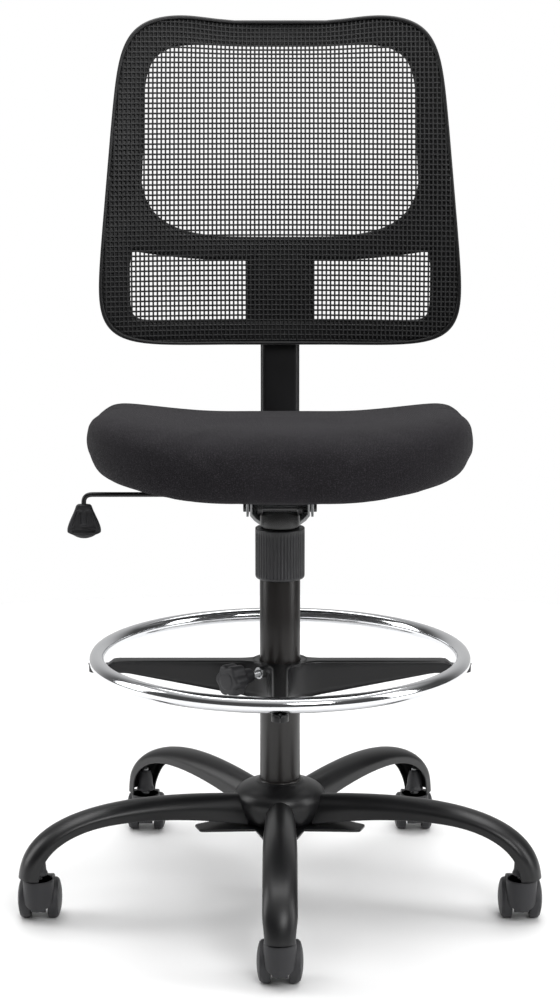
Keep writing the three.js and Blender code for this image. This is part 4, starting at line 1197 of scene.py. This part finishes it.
# ---- Back: mesh ----
# Black woven net stretched over the frame's front: upright yarns 5.5 mm apart, level yarns 6.5 mm
# apart that follow the dip of the top edge, each passing over and under the others.
def make_net_material():
    """Black coated yarn: fine streaks of a noise in its colour, gloss and bump, faintly glossy."""
    made, tree, bsdf = shader("black_net_yarn")
    at = tree.nodes.new("ShaderNodeTexCoord").outputs["Object"]
    streak = noise(tree, at, 900.0, 2)
    colour = mixed(tree, streak, (0.0035, 0.0035, 0.0040), (0.011, 0.011, 0.012))
    tree.links.new(colour, bsdf.inputs["Base Color"])
    tree.links.new(math_node(tree, "MULTIPLY_ADD", streak, 0.2, 0.5), bsdf.inputs["Roughness"])
    bumped(tree, bsdf, streak, 0.00005)
    return made


net_yarn = make_net_material()
PITCH_X, PITCH_Z, YARN_WIDE, YARN_THICK = 0.0055, 0.0065, 0.0023, 0.0011
NET_INSET, NET_BEHIND, SWAY, WIDEST = 0.004, 0.0018, 0.00035, 0.2290


def yarn_section(wide, thick):
    """Closed section [across, back] with six sides."""
    a = whole_turn(6)
    return np.stack([wide / 2 * np.cos(a), thick / 2 * np.sin(a)], -1)


def net_extent_z(x):
    """Lowest and highest level where the outline, drawn in a little, is wider than |x|: where
    |x / half-width|^7 + |v|^7 is at most 1."""
    edge = NET_INSET + 0.0002
    z = np.linspace(BACK_LOW + edge, BACK_HIGH - edge, 4000)
    v = (z - BACK_MIDDLE) / (BACK_HALF - NET_INSET)
    inside = np.abs(x / (back_half_width(z) - NET_INSET)) ** SQUARED + np.abs(v) ** SQUARED <= 1
    return z[inside].min(), z[inside].max()


def upright_yarn(x, sign):
    """An upright yarn at x: straight, and swaying front and back by a cosine whose half wave is the
    level yarns' pitch."""
    low, high = net_extent_z(x)
    z = np.linspace(low, high, int((high - low) / PITCH_Z) + 2)
    sway = SWAY * sign * np.cos(math.pi * (z - BACK_LOW) / PITCH_Z)
    section = yarn_section(YARN_WIDE, YARN_THICK)
    at = dipped(x, z)
    places = np.stack([x + 0 * z, back_front(x, at) + NET_BEHIND + sway, at], -1)
    return places[:, None] + np.stack([section[:, 0], section[:, 1], 0 * section[:, 0]], -1)


def level_yarn(z, sign):
    """A level yarn at height z before the dip, which it follows. It spans the drawn-in outline,
    half-width * (1 - |v|^7)^(1/7), and sways by a cosine whose half wave is the upright yarns'
    pitch."""
    v = (z - BACK_MIDDLE) / (BACK_HALF - NET_INSET)
    half = (1 - abs(v) ** SQUARED) ** (1 / SQUARED) * (back_half_width(z) - NET_INSET)
    x = np.linspace(-half, half, int(2 * half / PITCH_X) + 2)
    sway = SWAY * sign * np.cos(math.pi * x / PITCH_X)
    section = yarn_section(YARN_WIDE * 1.05, YARN_THICK)
    at = dipped(x, z)
    places = np.stack([x, back_front(x, at) + NET_BEHIND - sway, at], -1)
    return places[:, None] + np.stack([0 * section[:, 0], section[:, 1], section[:, 0]], -1)


uprights = np.arange(-42, 43) * PITCH_X
levels = np.arange(BACK_LOW + PITCH_Z, BACK_HIGH - NET_INSET, PITCH_Z)
yarns = [upright_yarn(x, 1 - 2 * (i % 2)) for i, x in enumerate(uprights) if abs(x) < WIDEST]
yarns += [level_yarn(z, 1 - 2 * (i % 2)) for i, z in enumerate(levels)]
net = piece("back_stretched_net", [(y, False, True, True) for y in yarns], "seat", ["back_mesh"], net_yarn,
            sharp=180)


# ---- Floor ----
# A plain pale floor: a matt painted disc that takes the chair's soft shadow. It isn't part of the
# chair.
FLOOR_RADIUS, FLOOR_STEPS = 1.7, 128
floor_mesh = bpy.data.meshes.new("floor")
floor_edge = polar(FLOOR_RADIUS, whole_turn(FLOOR_STEPS), 0)
floor_mesh.from_pydata(floor_edge.tolist(), [], [tuple(range(FLOOR_STEPS))])
floor = bpy.data.objects.new("floor", floor_mesh)
bpy.context.scene.collection.objects.link(floor)
floor_paint, _, floor_bsdf = shader("floor_paint")
floor_bsdf.inputs["Base Color"].default_value = (0.92, 0.92, 0.92, 1)
floor_bsdf.inputs["Roughness"].default_value = 0.5
floor.data.materials.append(floor_paint)
